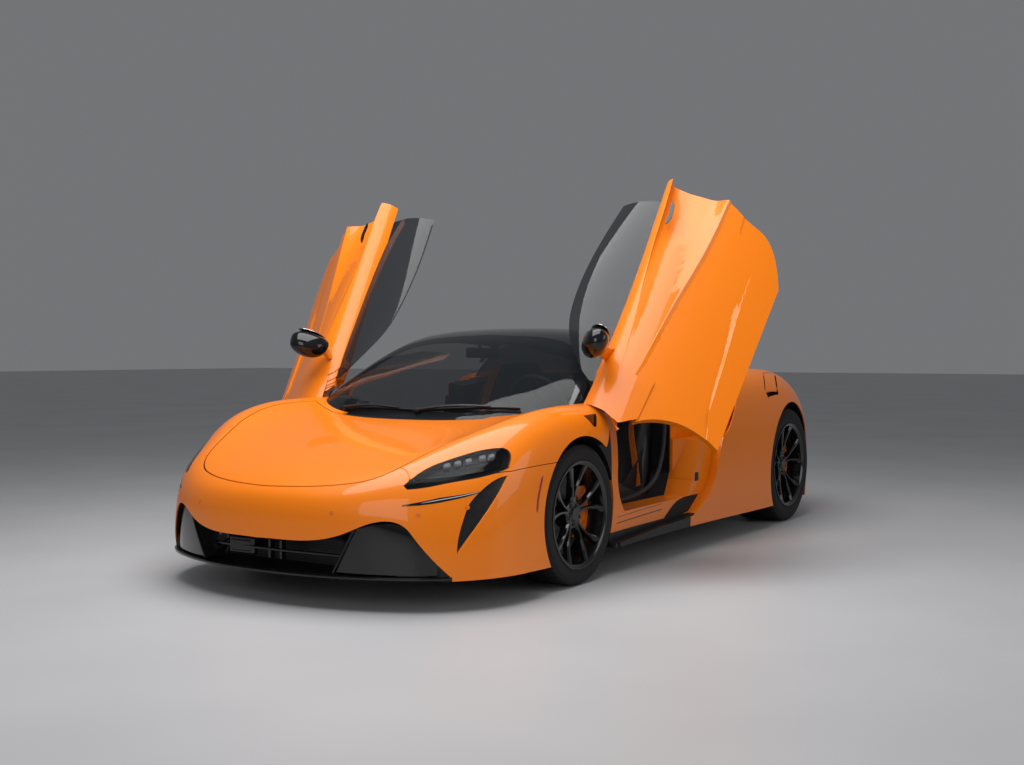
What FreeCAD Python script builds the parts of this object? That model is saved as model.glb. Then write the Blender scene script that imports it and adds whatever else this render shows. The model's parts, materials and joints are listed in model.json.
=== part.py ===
import FreeCAD, Part
import math
import os
from FreeCAD import Placement, Rotation, Vector

# A mid-engined two-seat supercar with its doors raised, front towards -Y, standing on z = 0.
# The origin lies on the floor below the middle of its length.

document = FreeCAD.newDocument("supercar")
sheet = document.addObject("Spreadsheet::Sheet", "sizes")

SIZES = [
    ("overall_length", 4539), ("overall_width", 1976), ("roof_height", 1193),
    ("wheelbase", 2640), ("front_overhang", 1120),
    ("front_track", 1650), ("rear_track", 1613),
    ("front_tyre_diameter", 647), ("front_tyre_width", 235), ("front_rim_diameter", 483),
    ("rear_tyre_diameter", 714), ("rear_tyre_width", 295), ("rear_rim_diameter", 508),
    ("front_arch_radius", 360), ("rear_arch_radius", 396), ("wheelhouse_room", 25),
    ("panel_thickness", 6), ("glass_thickness", 5), ("roof_thickness", 24),
    ("shut_gap", 5.8), ("panel_gap", 3.5), ("seat_clearance", 0.4), ("running_clearance", 6), ("running_fit", 0.08),
    ("flap_pocket_depth", 38), ("flap_open_angle", 70),
    ("door_skin_depth", 45), ("door_inner_reach", 770), ("door_block_sill", 290),
    ("door_open_angle", 74.8), ("door_axis_turn", -44.36), ("door_axis_tilt", -27.52),
    ("door_hinge_reach", 787), ("door_hinge_behind_axle", 306), ("door_hinge_height", 804),
    ("floor_height", 130), ("cabin_floor", 190), ("cabin_half_width", 640),
    ("cabin_front_behind_axle", 185), ("cabin_rear_behind_axle", 1665), ("bulkhead_thickness", 90),
    ("tub_front_behind_axle", 103), ("tub_sill_height", 330),
    ("steer_axis_reach", 765), ("wheelhouse_wall_reach", 530), ("rear_wall_reach", 590),
    ("disc_diameter", 390), ("disc_thickness", 32), ("disc_reach", 812), ("tyre_seat", 1),
    ("rim_thickness", 12), ("hub_radius", 72), ("spindle_radius", 30), ("spoke_count", 10),
    ("spoke_width", 26), ("spoke_depth", 40), ("ball_radius", 18), ("socket_share", 0.78), ("ball_height", 140),
    ("arm_radius", 9), ("arm_pivot_reach", 560), ("arm_spread", 80), ("upright_width", 70),
    ("caliper_length", 230), ("caliper_depth", 70), ("caliper_width", 96),
    ("seat_reach", 375), ("seat_width", 490), ("seat_front_behind_axle", 815), ("seat_length", 480),
    ("seat_height", 190), ("seat_back_height", 1010), ("seat_back_thickness", 130),
    ("seat_cushion_top", 360), ("seat_lean", 24),
    ("steering_wheel_reach", 375), ("steering_wheel_behind_axle", 560), ("steering_wheel_height", 790),
    ("steering_wheel_diameter", 350), ("steering_wheel_grip", 16), ("steering_wheel_lean", 66),
    ("dash_depth", 260), ("dash_front_behind_axle", 200), ("dash_bottom", 560), ("dash_top", 760),
    ("engine_length", 720), ("engine_width", 620), ("engine_height", 480),
    ("engine_behind_cabin", 190), ("muffler_length", 300), ("muffler_width", 760), ("muffler_height", 180),
    ("tailpipe_reach", 88), ("tailpipe_radius", 52), ("tailpipe_height", 640),
    ("fin_count", 6), ("fin_thickness", 6), ("slat_thickness", 8), ("slat_count", 4),
    ("tail_seam_behind_axle", 2975), ("door_rear_behind_axle", 1619), ("quarter_behind_axle", 1200),
    ("jamb_step", 15), ("jamb_front_behind_axle", 1300), ("jamb_rear_behind_axle", 1695),
    ("fuel_flap_floor", 700), ("trunk_half_width", 400), ("trunk_front_ahead_of_axle", 800),
    ("trunk_rear_ahead_of_axle", 110), ("trunk_floor", 330), ("radiator_ahead_of_axle", 850),
    ("lamp_inner_reach", 625), ("lens_thickness", 4),
    ("engine_bay_half_width", 430), ("engine_bay_floor", 170),
    ("engine_bay_behind_axle", 620), ("mesh_depth", 160), ("diffuser_depth", 330),
    ("slat_top", 380), ("fin_pitch", 150), ("diffuser_roof", 330), ("spoke_dish", 3),
    ("spindle_depth", 26), ("arm_drop", -15),
    ("mirror_width", 220), ("mirror_depth", 190), ("mirror_height", 130), ("mirror_stalk_radius", 16),
    ("console_half_width", 100), ("column_length", 260),
    ("hinge_zone_behind_axle", 95), ("hinge_zone_end_behind_axle", 500), ("hinge_zone_bottom", 560),
    ("hinge_zone_top", 920), ("hood_room_ahead_of_axle", 60), ("overrun", 20),
]
for number, (alias, value) in enumerate(SIZES, 1):
    sheet.set("A%d" % number, alias)
    sheet.set("B%d" % number, str(value))
    sheet.setAlias("B%d" % number, alias)
document.recompute()


def size(alias):
    """The value of one driving dimension, in millimetres or degrees."""
    return float(sheet.get(alias))


half_length = size("overall_length") / 2
half_width = size("overall_width") / 2
roof_height = size("roof_height")
front_axle = size("front_overhang") - half_length
rear_axle = front_axle + size("wheelbase")
front_wheel_radius = size("front_tyre_diameter") / 2
rear_wheel_radius = size("rear_tyre_diameter") / 2
floor_height = size("floor_height")
skin = size("panel_thickness")
seat = size("seat_clearance")
shut = size("shut_gap")
gap = size("panel_gap")
running = size("running_clearance")
overrun = size("overrun")
ALONG = {"x": Vector(1, 0, 0), "y": Vector(0, 1, 0), "z": Vector(0, 0, 1)}

# The body surface is a cubic spline through a net of control points. Each station runs from the
# centre line over the top and down the left side to the floor. A point is (share of half width,
# share of length behind the nose, share of roof height).

BODY_NET_SHARES = [
    [(0.000, 0.0037, 0.109), (0.263, 0.0070, 0.109), (0.476, 0.0195, 0.109), (0.633, 0.0345, 0.109),
     (0.721, 0.0455, 0.109), (0.828, 0.0676, 0.109), (0.909, 0.0936, 0.109), (0.949, 0.1190, 0.109),
     (0.957, 0.1300, 0.109), (0.962, 0.1377, 0.109)],
    [(0.000, -0.0018, 0.277), (0.265, 0.0019, 0.277), (0.478, 0.0147, 0.281), (0.636, 0.0319, 0.260),
     (0.723, 0.0433, 0.260), (0.828, 0.0658, 0.260), (0.909, 0.0932, 0.264), (0.951, 0.1190, 0.268),
     (0.957, 0.1344, 0.235), (0.962, 0.1465, 0.109)],
    [(0.000, -0.0025, 0.369), (0.267, 0.0024, 0.372), (0.476, 0.0156, 0.381), (0.628, 0.0345, 0.401),
     (0.709, 0.0488, 0.411), (0.805, 0.0720, 0.423), (0.891, 0.0980, 0.440), (0.943, 0.1234, 0.444),
     (0.964, 0.1421, 0.285), (0.969, 0.1553, 0.109)],
    [(0.000, 0.0066, 0.419), (0.273, 0.0148, 0.421), (0.451, 0.0297, 0.438), (0.597, 0.0507, 0.478),
     (0.688, 0.0672, 0.486), (0.791, 0.0925, 0.495), (0.893, 0.1190, 0.503), (0.957, 0.1399, 0.482),
     (0.974, 0.1575, 0.298), (0.974, 0.1685, 0.109)],
    [(0.000, 0.0297, 0.461), (0.279, 0.0359, 0.461), (0.455, 0.0485, 0.474), (0.607, 0.0727, 0.518),
     (0.688, 0.0881, 0.536), (0.795, 0.1135, 0.553), (0.904, 0.1377, 0.557), (0.969, 0.1564, 0.511),
     (0.980, 0.1751, 0.306), (0.977, 0.1840, 0.109)],
    [(0.000, 0.0716, 0.516), (0.286, 0.0749, 0.514), (0.481, 0.0837, 0.523), (0.640, 0.1024, 0.562),
     (0.715, 0.1168, 0.588), (0.812, 0.1377, 0.610), (0.914, 0.1575, 0.602), (0.978, 0.1774, 0.530),
     (0.985, 0.1950, 0.314), (0.978, 0.2016, 0.109)],
    [(0.000, 0.1245, 0.560), (0.294, 0.1262, 0.558), (0.516, 0.1311, 0.567), (0.680, 0.1432, 0.597),
     (0.747, 0.1531, 0.630), (0.832, 0.1696, 0.657), (0.926, 0.1884, 0.634), (0.984, 0.2038, 0.541),
     (0.988, 0.2170, 0.320), (0.978, 0.2214, 0.109)],
    [(0.000, 0.1862, 0.599), (0.299, 0.1873, 0.598), (0.547, 0.1895, 0.607), (0.717, 0.1950, 0.637),
     (0.777, 0.2016, 0.666), (0.850, 0.2126, 0.686), (0.935, 0.2258, 0.655), (0.986, 0.2368, 0.549),
     (0.990, 0.2456, 0.325), (0.978, 0.2479, 0.109)],
    [(0.000, 0.2456, 0.629), (0.304, 0.2456, 0.629), (0.567, 0.2456, 0.637), (0.744, 0.2468, 0.666),
     (0.798, 0.2501, 0.686), (0.862, 0.2567, 0.691), (0.939, 0.2644, 0.658), (0.985, 0.2710, 0.553),
     (0.988, 0.2743, 0.327), (0.975, 0.2765, 0.109)],
    [(0.000, 0.3117, 0.650), (0.304, 0.3117, 0.650), (0.575, 0.3117, 0.658), (0.754, 0.3117, 0.677),
     (0.806, 0.3128, 0.689), (0.868, 0.3150, 0.686), (0.936, 0.3173, 0.650), (0.976, 0.3195, 0.549),
     (0.976, 0.3206, 0.327), (0.964, 0.3206, 0.109)],
    [(0.000, 0.3999, 0.671), (0.304, 0.3999, 0.671), (0.575, 0.3999, 0.675), (0.757, 0.3999, 0.689),
     (0.812, 0.3999, 0.697), (0.874, 0.3999, 0.689), (0.929, 0.3999, 0.645), (0.962, 0.3999, 0.547),
     (0.960, 0.3999, 0.327), (0.945, 0.3999, 0.109)],
    [(0.000, 0.4990, 0.696), (0.304, 0.4990, 0.696), (0.575, 0.4990, 0.702), (0.761, 0.4990, 0.719),
     (0.816, 0.4990, 0.728), (0.879, 0.4990, 0.714), (0.929, 0.4990, 0.659), (0.960, 0.4990, 0.549),
     (0.956, 0.4990, 0.329), (0.941, 0.4990, 0.109)],
    [(0.000, 0.5981, 0.721), (0.304, 0.5981, 0.723), (0.572, 0.5981, 0.739), (0.761, 0.5981, 0.767),
     (0.818, 0.5981, 0.778), (0.883, 0.5981, 0.761), (0.938, 0.5981, 0.692), (0.972, 0.5981, 0.563),
     (0.970, 0.5981, 0.334), (0.952, 0.5981, 0.109)],
    [(0.000, 0.6863, 0.742), (0.304, 0.6863, 0.746), (0.567, 0.6863, 0.764), (0.754, 0.6863, 0.792),
     (0.812, 0.6863, 0.806), (0.879, 0.6863, 0.792), (0.951, 0.6863, 0.723), (0.993, 0.6863, 0.585),
     (0.993, 0.6863, 0.339), (0.974, 0.6863, 0.109)],
    [(0.000, 0.7634, 0.754), (0.304, 0.7634, 0.759), (0.557, 0.7634, 0.773), (0.741, 0.7634, 0.801),
     (0.802, 0.7634, 0.815), (0.874, 0.7634, 0.803), (0.957, 0.7634, 0.738), (1.002, 0.7634, 0.597),
     (1.004, 0.7634, 0.345), (0.984, 0.7634, 0.109)],
    [(0.000, 0.8361, 0.759), (0.304, 0.8361, 0.761), (0.547, 0.8361, 0.773), (0.724, 0.8361, 0.792),
     (0.784, 0.8361, 0.803), (0.858, 0.8361, 0.788), (0.947, 0.8361, 0.723), (1.000, 0.8361, 0.591),
     (1.004, 0.8361, 0.345), (0.986, 0.8361, 0.109)],
    [(0.000, 0.9022, 0.754), (0.304, 0.9022, 0.756), (0.531, 0.9022, 0.761), (0.698, 0.9011, 0.767),
     (0.757, 0.8995, 0.764), (0.828, 0.8967, 0.739), (0.914, 0.8923, 0.671), (0.971, 0.8879, 0.560),
     (0.982, 0.8857, 0.337), (0.965, 0.8846, 0.109)],
    [(0.000, 0.9551, 0.746), (0.299, 0.9540, 0.746), (0.516, 0.9506, 0.743), (0.663, 0.9451, 0.731),
     (0.719, 0.9418, 0.717), (0.784, 0.9363, 0.681), (0.862, 0.9286, 0.612), (0.920, 0.9209, 0.520),
     (0.941, 0.9176, 0.327), (0.928, 0.9165, 0.109)],
    [(0.000, 0.9902, 0.738), (0.294, 0.9886, 0.734), (0.506, 0.9836, 0.723), (0.636, 0.9763, 0.700),
     (0.688, 0.9714, 0.677), (0.747, 0.9648, 0.637), (0.812, 0.9549, 0.570), (0.865, 0.9451, 0.486),
     (0.891, 0.9396, 0.319), (0.883, 0.9385, 0.109)],
    [(0.000, 1.0019, 0.654), (0.294, 1.0001, 0.650), (0.504, 0.9946, 0.641), (0.628, 0.9869, 0.622),
     (0.678, 0.9820, 0.604), (0.734, 0.9748, 0.570), (0.795, 0.9644, 0.516), (0.842, 0.9529, 0.444),
     (0.868, 0.9451, 0.302), (0.866, 0.9432, 0.109)],
    [(0.000, 1.0012, 0.377), (0.291, 0.9996, 0.377), (0.498, 0.9939, 0.373), (0.619, 0.9860, 0.369),
     (0.668, 0.9811, 0.360), (0.721, 0.9737, 0.344), (0.777, 0.9640, 0.319), (0.824, 0.9546, 0.285),
     (0.850, 0.9489, 0.210), (0.848, 0.9471, 0.109)],
    [(0.000, 0.9913, 0.109), (0.288, 0.9895, 0.109), (0.488, 0.9842, 0.109), (0.603, 0.9770, 0.109),
     (0.652, 0.9725, 0.109), (0.702, 0.9679, 0.109), (0.757, 0.9609, 0.109), (0.796, 0.9546, 0.109),
     (0.814, 0.9520, 0.109), (0.828, 0.9500, 0.109)],
]
GLASSHOUSE_NET_SHARES = [
    [(0.000, 0.2214, 0.587), (0.283, 0.2243, 0.587), (0.531, 0.2329, 0.587), (0.734, 0.2468, 0.587),
     (0.840, 0.2633, 0.587), (0.855, 0.2853, 0.587)],
    [(0.000, 0.2732, 0.728), (0.286, 0.2765, 0.726), (0.536, 0.2871, 0.723), (0.731, 0.3007, 0.728),
     (0.842, 0.3106, 0.708), (0.860, 0.3294, 0.587)],
    [(0.000, 0.3338, 0.880), (0.273, 0.3366, 0.877), (0.506, 0.3466, 0.868), (0.688, 0.3584, 0.877),
     (0.808, 0.3690, 0.795), (0.856, 0.3866, 0.587)],
    [(0.000, 0.3955, 0.996), (0.258, 0.3972, 0.992), (0.481, 0.4043, 0.982), (0.648, 0.4157, 0.956),
     (0.777, 0.4289, 0.810), (0.853, 0.4523, 0.587)],
    [(0.000, 0.4660, 1.011), (0.253, 0.4666, 1.008), (0.460, 0.4693, 0.997), (0.627, 0.4774, 0.961),
     (0.763, 0.4906, 0.821), (0.852, 0.5111, 0.587)],
    [(0.000, 0.5497, 0.997), (0.248, 0.5497, 0.996), (0.445, 0.5508, 0.983), (0.607, 0.5550, 0.940),
     (0.744, 0.5627, 0.820), (0.846, 0.5761, 0.587)],
    [(0.000, 0.6334, 0.962), (0.243, 0.6334, 0.961), (0.430, 0.6334, 0.947), (0.572, 0.6356, 0.905),
     (0.703, 0.6400, 0.801), (0.822, 0.6510, 0.587)],
    [(0.000, 0.7171, 0.904), (0.233, 0.7171, 0.902), (0.413, 0.7171, 0.887), (0.541, 0.7171, 0.853),
     (0.658, 0.7171, 0.771), (0.779, 0.7193, 0.587)],
    [(0.000, 0.7920, 0.830), (0.228, 0.7920, 0.828), (0.400, 0.7920, 0.817), (0.516, 0.7920, 0.796),
     (0.622, 0.7920, 0.738), (0.734, 0.7920, 0.587)],
    [(0.000, 0.8537, 0.771), (0.223, 0.8537, 0.769), (0.390, 0.8537, 0.763), (0.496, 0.8515, 0.746),
     (0.592, 0.8493, 0.704), (0.688, 0.8471, 0.587)],
    [(0.000, 0.8890, 0.587), (0.223, 0.8890, 0.587), (0.385, 0.8868, 0.587), (0.486, 0.8846, 0.587),
     (0.577, 0.8824, 0.587), (0.658, 0.8801, 0.587)],
]
# Floor of the door's air channel, front to rear: points from its lower ridge up to its lip.
DOOR_CHANNEL_SHARES = [
    [(0.978, 0.3360, 0.545), (0.971, 0.3360, 0.549), (0.970, 0.3360, 0.553), (0.969, 0.3360, 0.559),
     (0.968, 0.3360, 0.567), (0.967, 0.3360, 0.573), (0.965, 0.3360, 0.580), (0.964, 0.3360, 0.588),
     (0.962, 0.3360, 0.594), (0.960, 0.3360, 0.598), (0.981, 0.3360, 0.602)],
    [(0.974, 0.3778, 0.536), (0.957, 0.3778, 0.542), (0.955, 0.3778, 0.550), (0.952, 0.3778, 0.559),
     (0.949, 0.3778, 0.569), (0.946, 0.3778, 0.580), (0.943, 0.3778, 0.591), (0.941, 0.3778, 0.602),
     (0.939, 0.3778, 0.612), (0.940, 0.3778, 0.619), (0.968, 0.3778, 0.624)],
    [(0.971, 0.4219, 0.521), (0.954, 0.4219, 0.531), (0.950, 0.4219, 0.541), (0.945, 0.4219, 0.556),
     (0.938, 0.4219, 0.572), (0.932, 0.4219, 0.588), (0.926, 0.4219, 0.604), (0.923, 0.4219, 0.621),
     (0.923, 0.4219, 0.637), (0.925, 0.4219, 0.647), (0.950, 0.4219, 0.655)],
    [(0.971, 0.4660, 0.506), (0.954, 0.4660, 0.519), (0.947, 0.4660, 0.534), (0.938, 0.4660, 0.553),
     (0.927, 0.4660, 0.576), (0.916, 0.4660, 0.598), (0.906, 0.4660, 0.620), (0.903, 0.4660, 0.644),
     (0.903, 0.4660, 0.666), (0.907, 0.4660, 0.679), (0.926, 0.4660, 0.690)],
    [(0.974, 0.5100, 0.488), (0.957, 0.5100, 0.504), (0.943, 0.5100, 0.523), (0.926, 0.5100, 0.547),
     (0.911, 0.5100, 0.576), (0.896, 0.5100, 0.604), (0.883, 0.5100, 0.632), (0.878, 0.5100, 0.662),
     (0.879, 0.5100, 0.689), (0.894, 0.5100, 0.707), (0.906, 0.5100, 0.721)],
    [(0.979, 0.5541, 0.478), (0.963, 0.5541, 0.496), (0.938, 0.5541, 0.518), (0.909, 0.5541, 0.547),
     (0.888, 0.5541, 0.578), (0.869, 0.5541, 0.610), (0.853, 0.5541, 0.643), (0.848, 0.5541, 0.676),
     (0.851, 0.5541, 0.708), (0.892, 0.5541, 0.728), (0.898, 0.5541, 0.744)],
    [(0.987, 0.6034, 0.479), (0.971, 0.6034, 0.499), (0.930, 0.6034, 0.524), (0.883, 0.6034, 0.555),
     (0.858, 0.6034, 0.591), (0.837, 0.6034, 0.626), (0.818, 0.6034, 0.662), (0.809, 0.6034, 0.700),
     (0.809, 0.6034, 0.735), (0.881, 0.6034, 0.757), (0.868, 0.6034, 0.775)],
    [(0.991, 0.6246, 0.481), (0.975, 0.6246, 0.502), (0.930, 0.6246, 0.527), (0.879, 0.6246, 0.560),
     (0.851, 0.6246, 0.597), (0.828, 0.6246, 0.634), (0.807, 0.6246, 0.671), (0.797, 0.6246, 0.710),
     (0.797, 0.6246, 0.746), (0.876, 0.6246, 0.769), (0.843, 0.6246, 0.787)],
]
# Floor of the long hollow below that ridge, front to rear: points from the ridge down to a crease.
DOOR_VALLEY_SHARES = [
    [(0.975, 0.2985, 0.563), (0.969, 0.2985, 0.552), (0.977, 0.2985, 0.427), (0.975, 0.2985, 0.302),
     (0.971, 0.2985, 0.194), (0.972, 0.2985, 0.194), (0.974, 0.2985, 0.193), (0.983, 0.2985, 0.181)],
    [(0.967, 0.3558, 0.558), (0.960, 0.3558, 0.547), (0.964, 0.3558, 0.433), (0.959, 0.3558, 0.319),
     (0.954, 0.3558, 0.222), (0.957, 0.3558, 0.221), (0.962, 0.3558, 0.220), (0.971, 0.3558, 0.208)],
    [(0.963, 0.4124, 0.544), (0.955, 0.4124, 0.532), (0.954, 0.4124, 0.435), (0.948, 0.4124, 0.337),
     (0.943, 0.4124, 0.253), (0.947, 0.4124, 0.248), (0.954, 0.4124, 0.242), (0.964, 0.4124, 0.231)],
    [(0.962, 0.4492, 0.536), (0.954, 0.4492, 0.525), (0.952, 0.4492, 0.438), (0.946, 0.4492, 0.350),
     (0.941, 0.4492, 0.276), (0.946, 0.4492, 0.267), (0.953, 0.4492, 0.258), (0.962, 0.4492, 0.246)],
    [(0.965, 0.5043, 0.516), (0.957, 0.5043, 0.505), (0.953, 0.5043, 0.441), (0.947, 0.5043, 0.376),
     (0.944, 0.5043, 0.322), (0.948, 0.5043, 0.303), (0.954, 0.5043, 0.279), (0.963, 0.5043, 0.267)],
    [(0.970, 0.5497, 0.508), (0.962, 0.5497, 0.496), (0.957, 0.5497, 0.446), (0.952, 0.5497, 0.396),
     (0.949, 0.5497, 0.352), (0.953, 0.5497, 0.325), (0.960, 0.5497, 0.293), (0.968, 0.5497, 0.281)],
    [(0.974, 0.5761, 0.509), (0.966, 0.5761, 0.497), (0.962, 0.5761, 0.453), (0.956, 0.5761, 0.408),
     (0.953, 0.5761, 0.370), (0.957, 0.5761, 0.342), (0.964, 0.5761, 0.308), (0.972, 0.5761, 0.296)],
    [(0.982, 0.6246, 0.514), (0.975, 0.6246, 0.502), (0.971, 0.6246, 0.468), (0.966, 0.6246, 0.433),
     (0.964, 0.6246, 0.404), (0.968, 0.6246, 0.373), (0.974, 0.6246, 0.335), (0.983, 0.6246, 0.324)],
]
# Shares of the swings of the door, its glass and the fuel flap at which their rooms are cut.
HINGE_SWEEP_SHARES = (0.03, 0.07, 0.12, 0.18, 0.26, 0.36, 0.48, 0.6, 0.73, 0.87, 1.0)
GLASS_SWEEP_SHARES = (0.008, 0.02, 0.035, 0.055)
FLAP_SWEEP_SHARES = (0.015, 0.035, 0.07, 0.11, 0.16, 0.24)

# The hood's edge seen from above, left half from the nose's centre line to the rear edge.
HOOD_EDGE_SHARES = [
    [(0.0000, 0.0112), (0.1447, 0.0139), (0.3077, 0.0216), (0.4119, 0.0297), (0.5040, 0.0412),
     (0.5668, 0.0584), (0.6073, 0.0784), (0.6478, 0.1024), (0.6984, 0.1289), (0.7439, 0.1597),
     (0.7713, 0.1906), (0.7773, 0.2170), (0.7713, 0.2456), (0.7591, 0.2699)],
    [(0.7591, 0.2699), (0.6984, 0.2628), (0.6073, 0.2509), (0.4858, 0.2386), (0.3441, 0.2307),
     (0.1822, 0.2254), (0.0000, 0.2236)],
]
# The front fender's edge seen from the side: lamp corner, seam to the wheel arch, and past the door.
FENDER_EDGE_SHARES = [
    [(0.0562, 0.5868), (0.0588, 0.4895)],
    [(0.0588, 0.4895), (0.0471, 0.4233)],
    [(0.0471, 0.4233), (0.0571, 0.4283), (0.0745, 0.4426), (0.0978, 0.4577), (0.1152, 0.4711),
     (0.1251, 0.4719)],
    [(0.1251, 0.4719), (0.1503, 0.4811), (0.1851, 0.4870), (0.2236, 0.4895)],
    [(0.2236, 0.4895), (0.3558, 0.4895)],
    [(0.3558, 0.4895), (0.3558, 0.8382)],
    [(0.3558, 0.8382), (0.0562, 0.8382)],
    [(0.0562, 0.8382), (0.0562, 0.5868)],
]
# The door's outline seen from the side: fender seam, wheel arch, sill, rear edge; open at the top.
DOOR_EDGE_SHARES = [
    [(0.3071, 0.9640), (0.3071, 0.6530)],
    [(0.3071, 0.6530), (0.3056, 0.6119), (0.3023, 0.5717), (0.2981, 0.5423), (0.2926, 0.5172)],
    [(0.2926, 0.5172), (0.3117, 0.4443), (0.3234, 0.3495), (0.3261, 0.2712), (0.3234, 0.1928),
     (0.3168, 0.1291)],
    [(0.3168, 0.1291), (0.5188, 0.1593)],
    [(0.5188, 0.1593), (0.5497, 0.2196), (0.5695, 0.2875), (0.5805, 0.3772), (0.5948, 0.4962)],
    [(0.5948, 0.4962), (0.5993, 0.5868), (0.6021, 0.6706), (0.6034, 0.7619)],
    [(0.6034, 0.7619), (0.6034, 0.9640)],
    [(0.6034, 0.9640), (0.3071, 0.9640)],
]
# The corner of the shoulder ahead of the door that stays with the fender, seen from above.
DOOR_SHOULDER_SHARES = [
    [(0.6073, 0.2897), (0.8988, 0.2897)],
    [(0.8988, 0.2897), (0.8988, 0.3071)],
    [(0.8988, 0.3071), (0.8269, 0.3309)],
    [(0.8269, 0.3309), (0.6073, 0.3309)],
    [(0.6073, 0.3309), (0.6073, 0.2897)],
]
# The deep inner part of the door, which fills the opening to the cabin, seen from the side.
DOOR_BLOCK_SHARES = [
    [(0.3404, 0.9640), (0.3404, 0.4359)],
    [(0.3404, 0.4359), (0.3437, 0.3185), (0.3580, 0.2431)],
    [(0.3580, 0.2431), (0.5221, 0.2431)],
    [(0.5221, 0.2431), (0.5343, 0.3269), (0.5448, 0.4107), (0.5541, 0.5029)],
    [(0.5541, 0.5029), (0.5541, 0.9640)],
    [(0.5541, 0.9640), (0.3404, 0.9640)],
]
# The part of the door behind the rear of its air channel, seen from the side.
DOOR_BACKING_SHARES = [
    [(0.5310, 0.4962), (0.5310, 0.9640)],
    [(0.5310, 0.9640), (0.6070, 0.9640)],
    [(0.6070, 0.9640), (0.6070, 0.4962)],
    [(0.6070, 0.4962), (0.5310, 0.4962)],
]
# The air duct behind the door, seen from the side.
INTAKE_DUCT_SHARES = [
    [(0.5937, 0.5029), (0.5937, 0.7410)],
    [(0.5937, 0.7410), (0.6136, 0.7376), (0.6422, 0.7209), (0.6642, 0.6873), (0.6775, 0.6370)],
    [(0.6775, 0.6370), (0.6775, 0.5784)],
    [(0.6775, 0.5784), (0.6532, 0.5281), (0.6290, 0.5080), (0.5937, 0.5029)],
]
# The air intake between the door's rear edge and the quarter panel, seen from the side.
INTAKE_OPENING_SHARES = [
    [(0.5933, 0.5029), (0.5977, 0.5868), (0.6006, 0.6706), (0.6019, 0.7326)],
    [(0.6019, 0.7326), (0.6202, 0.7309), (0.6345, 0.7083), (0.6416, 0.6630)],
    [(0.6416, 0.6630), (0.6367, 0.6287), (0.6283, 0.5918), (0.6180, 0.5490), (0.6072, 0.5138)],
    [(0.6072, 0.5138), (0.6004, 0.5046), (0.5933, 0.5029)],
]
# The slanted face of the rear jamb, seen from above.
JAMB_SLANT_SHARES = [
    [(0.6073, 0.5369), (0.7794, 0.5369)],
    [(0.7794, 0.5369), (0.9160, 0.5739)],
    [(0.9160, 0.5739), (0.9160, 0.6422)],
    [(0.9160, 0.6422), (0.6073, 0.6422)],
    [(0.6073, 0.6422), (0.6073, 0.5369)],
]
# The windscreen's edge seen from above, left half: past its base, the pillar and the header.
WINDSCREEN_SHARES = [
    [(0.0000, 0.2016), (0.7794, 0.2016)],
    [(0.7794, 0.2016), (0.7794, 0.2809)],
    [(0.7794, 0.2809), (0.7510, 0.3018), (0.7308, 0.3179), (0.7085, 0.3338), (0.6802, 0.3481),
     (0.6356, 0.3635), (0.5719, 0.3767), (0.4858, 0.3849), (0.3036, 0.3893), (0.0000, 0.3911)],
]
# The door glass seen from the side, down to its lower edge inside the door.
DOOR_GLASS_SHARES = [
    [(0.3415, 0.6161), (0.3415, 0.7041)],
    [(0.3415, 0.7041), (0.3470, 0.7334), (0.3580, 0.7754), (0.3723, 0.8198), (0.3900, 0.8634),
     (0.4109, 0.8969), (0.4373, 0.9187), (0.4770, 0.9321), (0.5321, 0.9288), (0.5810, 0.9145)],
    [(0.5810, 0.9145), (0.5874, 0.8106)],
    [(0.5874, 0.8106), (0.5874, 0.7276)],
    [(0.5874, 0.7276), (0.5321, 0.6890), (0.4660, 0.6496), (0.3415, 0.6161)],
]
# The glass over the engine seen from above, left half.
REAR_WINDOW_SHARES = [
    [(0.0000, 0.6026), (0.3543, 0.6026)],
    [(0.3543, 0.6026), (0.4049, 0.6070), (0.3998, 0.6246), (0.3340, 0.6995), (0.3036, 0.7083)],
    [(0.3036, 0.7083), (0.0000, 0.7083)],
]
# The painted buttress beside the engine cover seen from above.
REAR_SIDE_SHARES = [
    [(0.4757, 0.5871), (0.9109, 0.5871)],
    [(0.9109, 0.5871), (0.9109, 0.8934)],
    [(0.9109, 0.8934), (0.3340, 0.8934)],
    [(0.3340, 0.8934), (0.3543, 0.8185), (0.4049, 0.7083), (0.4757, 0.5871)],
]
# The fuel flap on the left haunch seen from above.
FUEL_FLAP_SHARES = [
    [(0.8927, 0.7689), (0.9565, 0.7391)],
    [(0.9565, 0.7391), (0.9676, 0.7403), (0.9696, 0.7436)],
    [(0.9696, 0.7436), (0.9666, 0.7799)],
    [(0.9666, 0.7799), (0.9615, 0.7837), (0.9514, 0.7854)],
    [(0.9514, 0.7854), (0.8725, 0.8229)],
    [(0.8725, 0.8229), (0.8603, 0.8240), (0.8563, 0.8211)],
    [(0.8563, 0.8211), (0.8826, 0.7722)],
    [(0.8826, 0.7722), (0.8856, 0.7700), (0.8927, 0.7689)],
]
# The headlamp's opening seen from the side.
LAMP_SHARES = [
    [(0.0465, 0.4350), (0.0716, 0.4937), (0.0969, 0.5272), (0.1210, 0.5499), (0.1306, 0.5524)],
    [(0.1306, 0.5524), (0.1335, 0.5415), (0.1317, 0.5180), (0.1251, 0.4845)],
    [(0.1251, 0.4845), (0.1152, 0.4728), (0.0978, 0.4577), (0.0745, 0.4426), (0.0571, 0.4283),
     (0.0465, 0.4241)],
    [(0.0465, 0.4241), (0.0465, 0.4350)],
]
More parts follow.
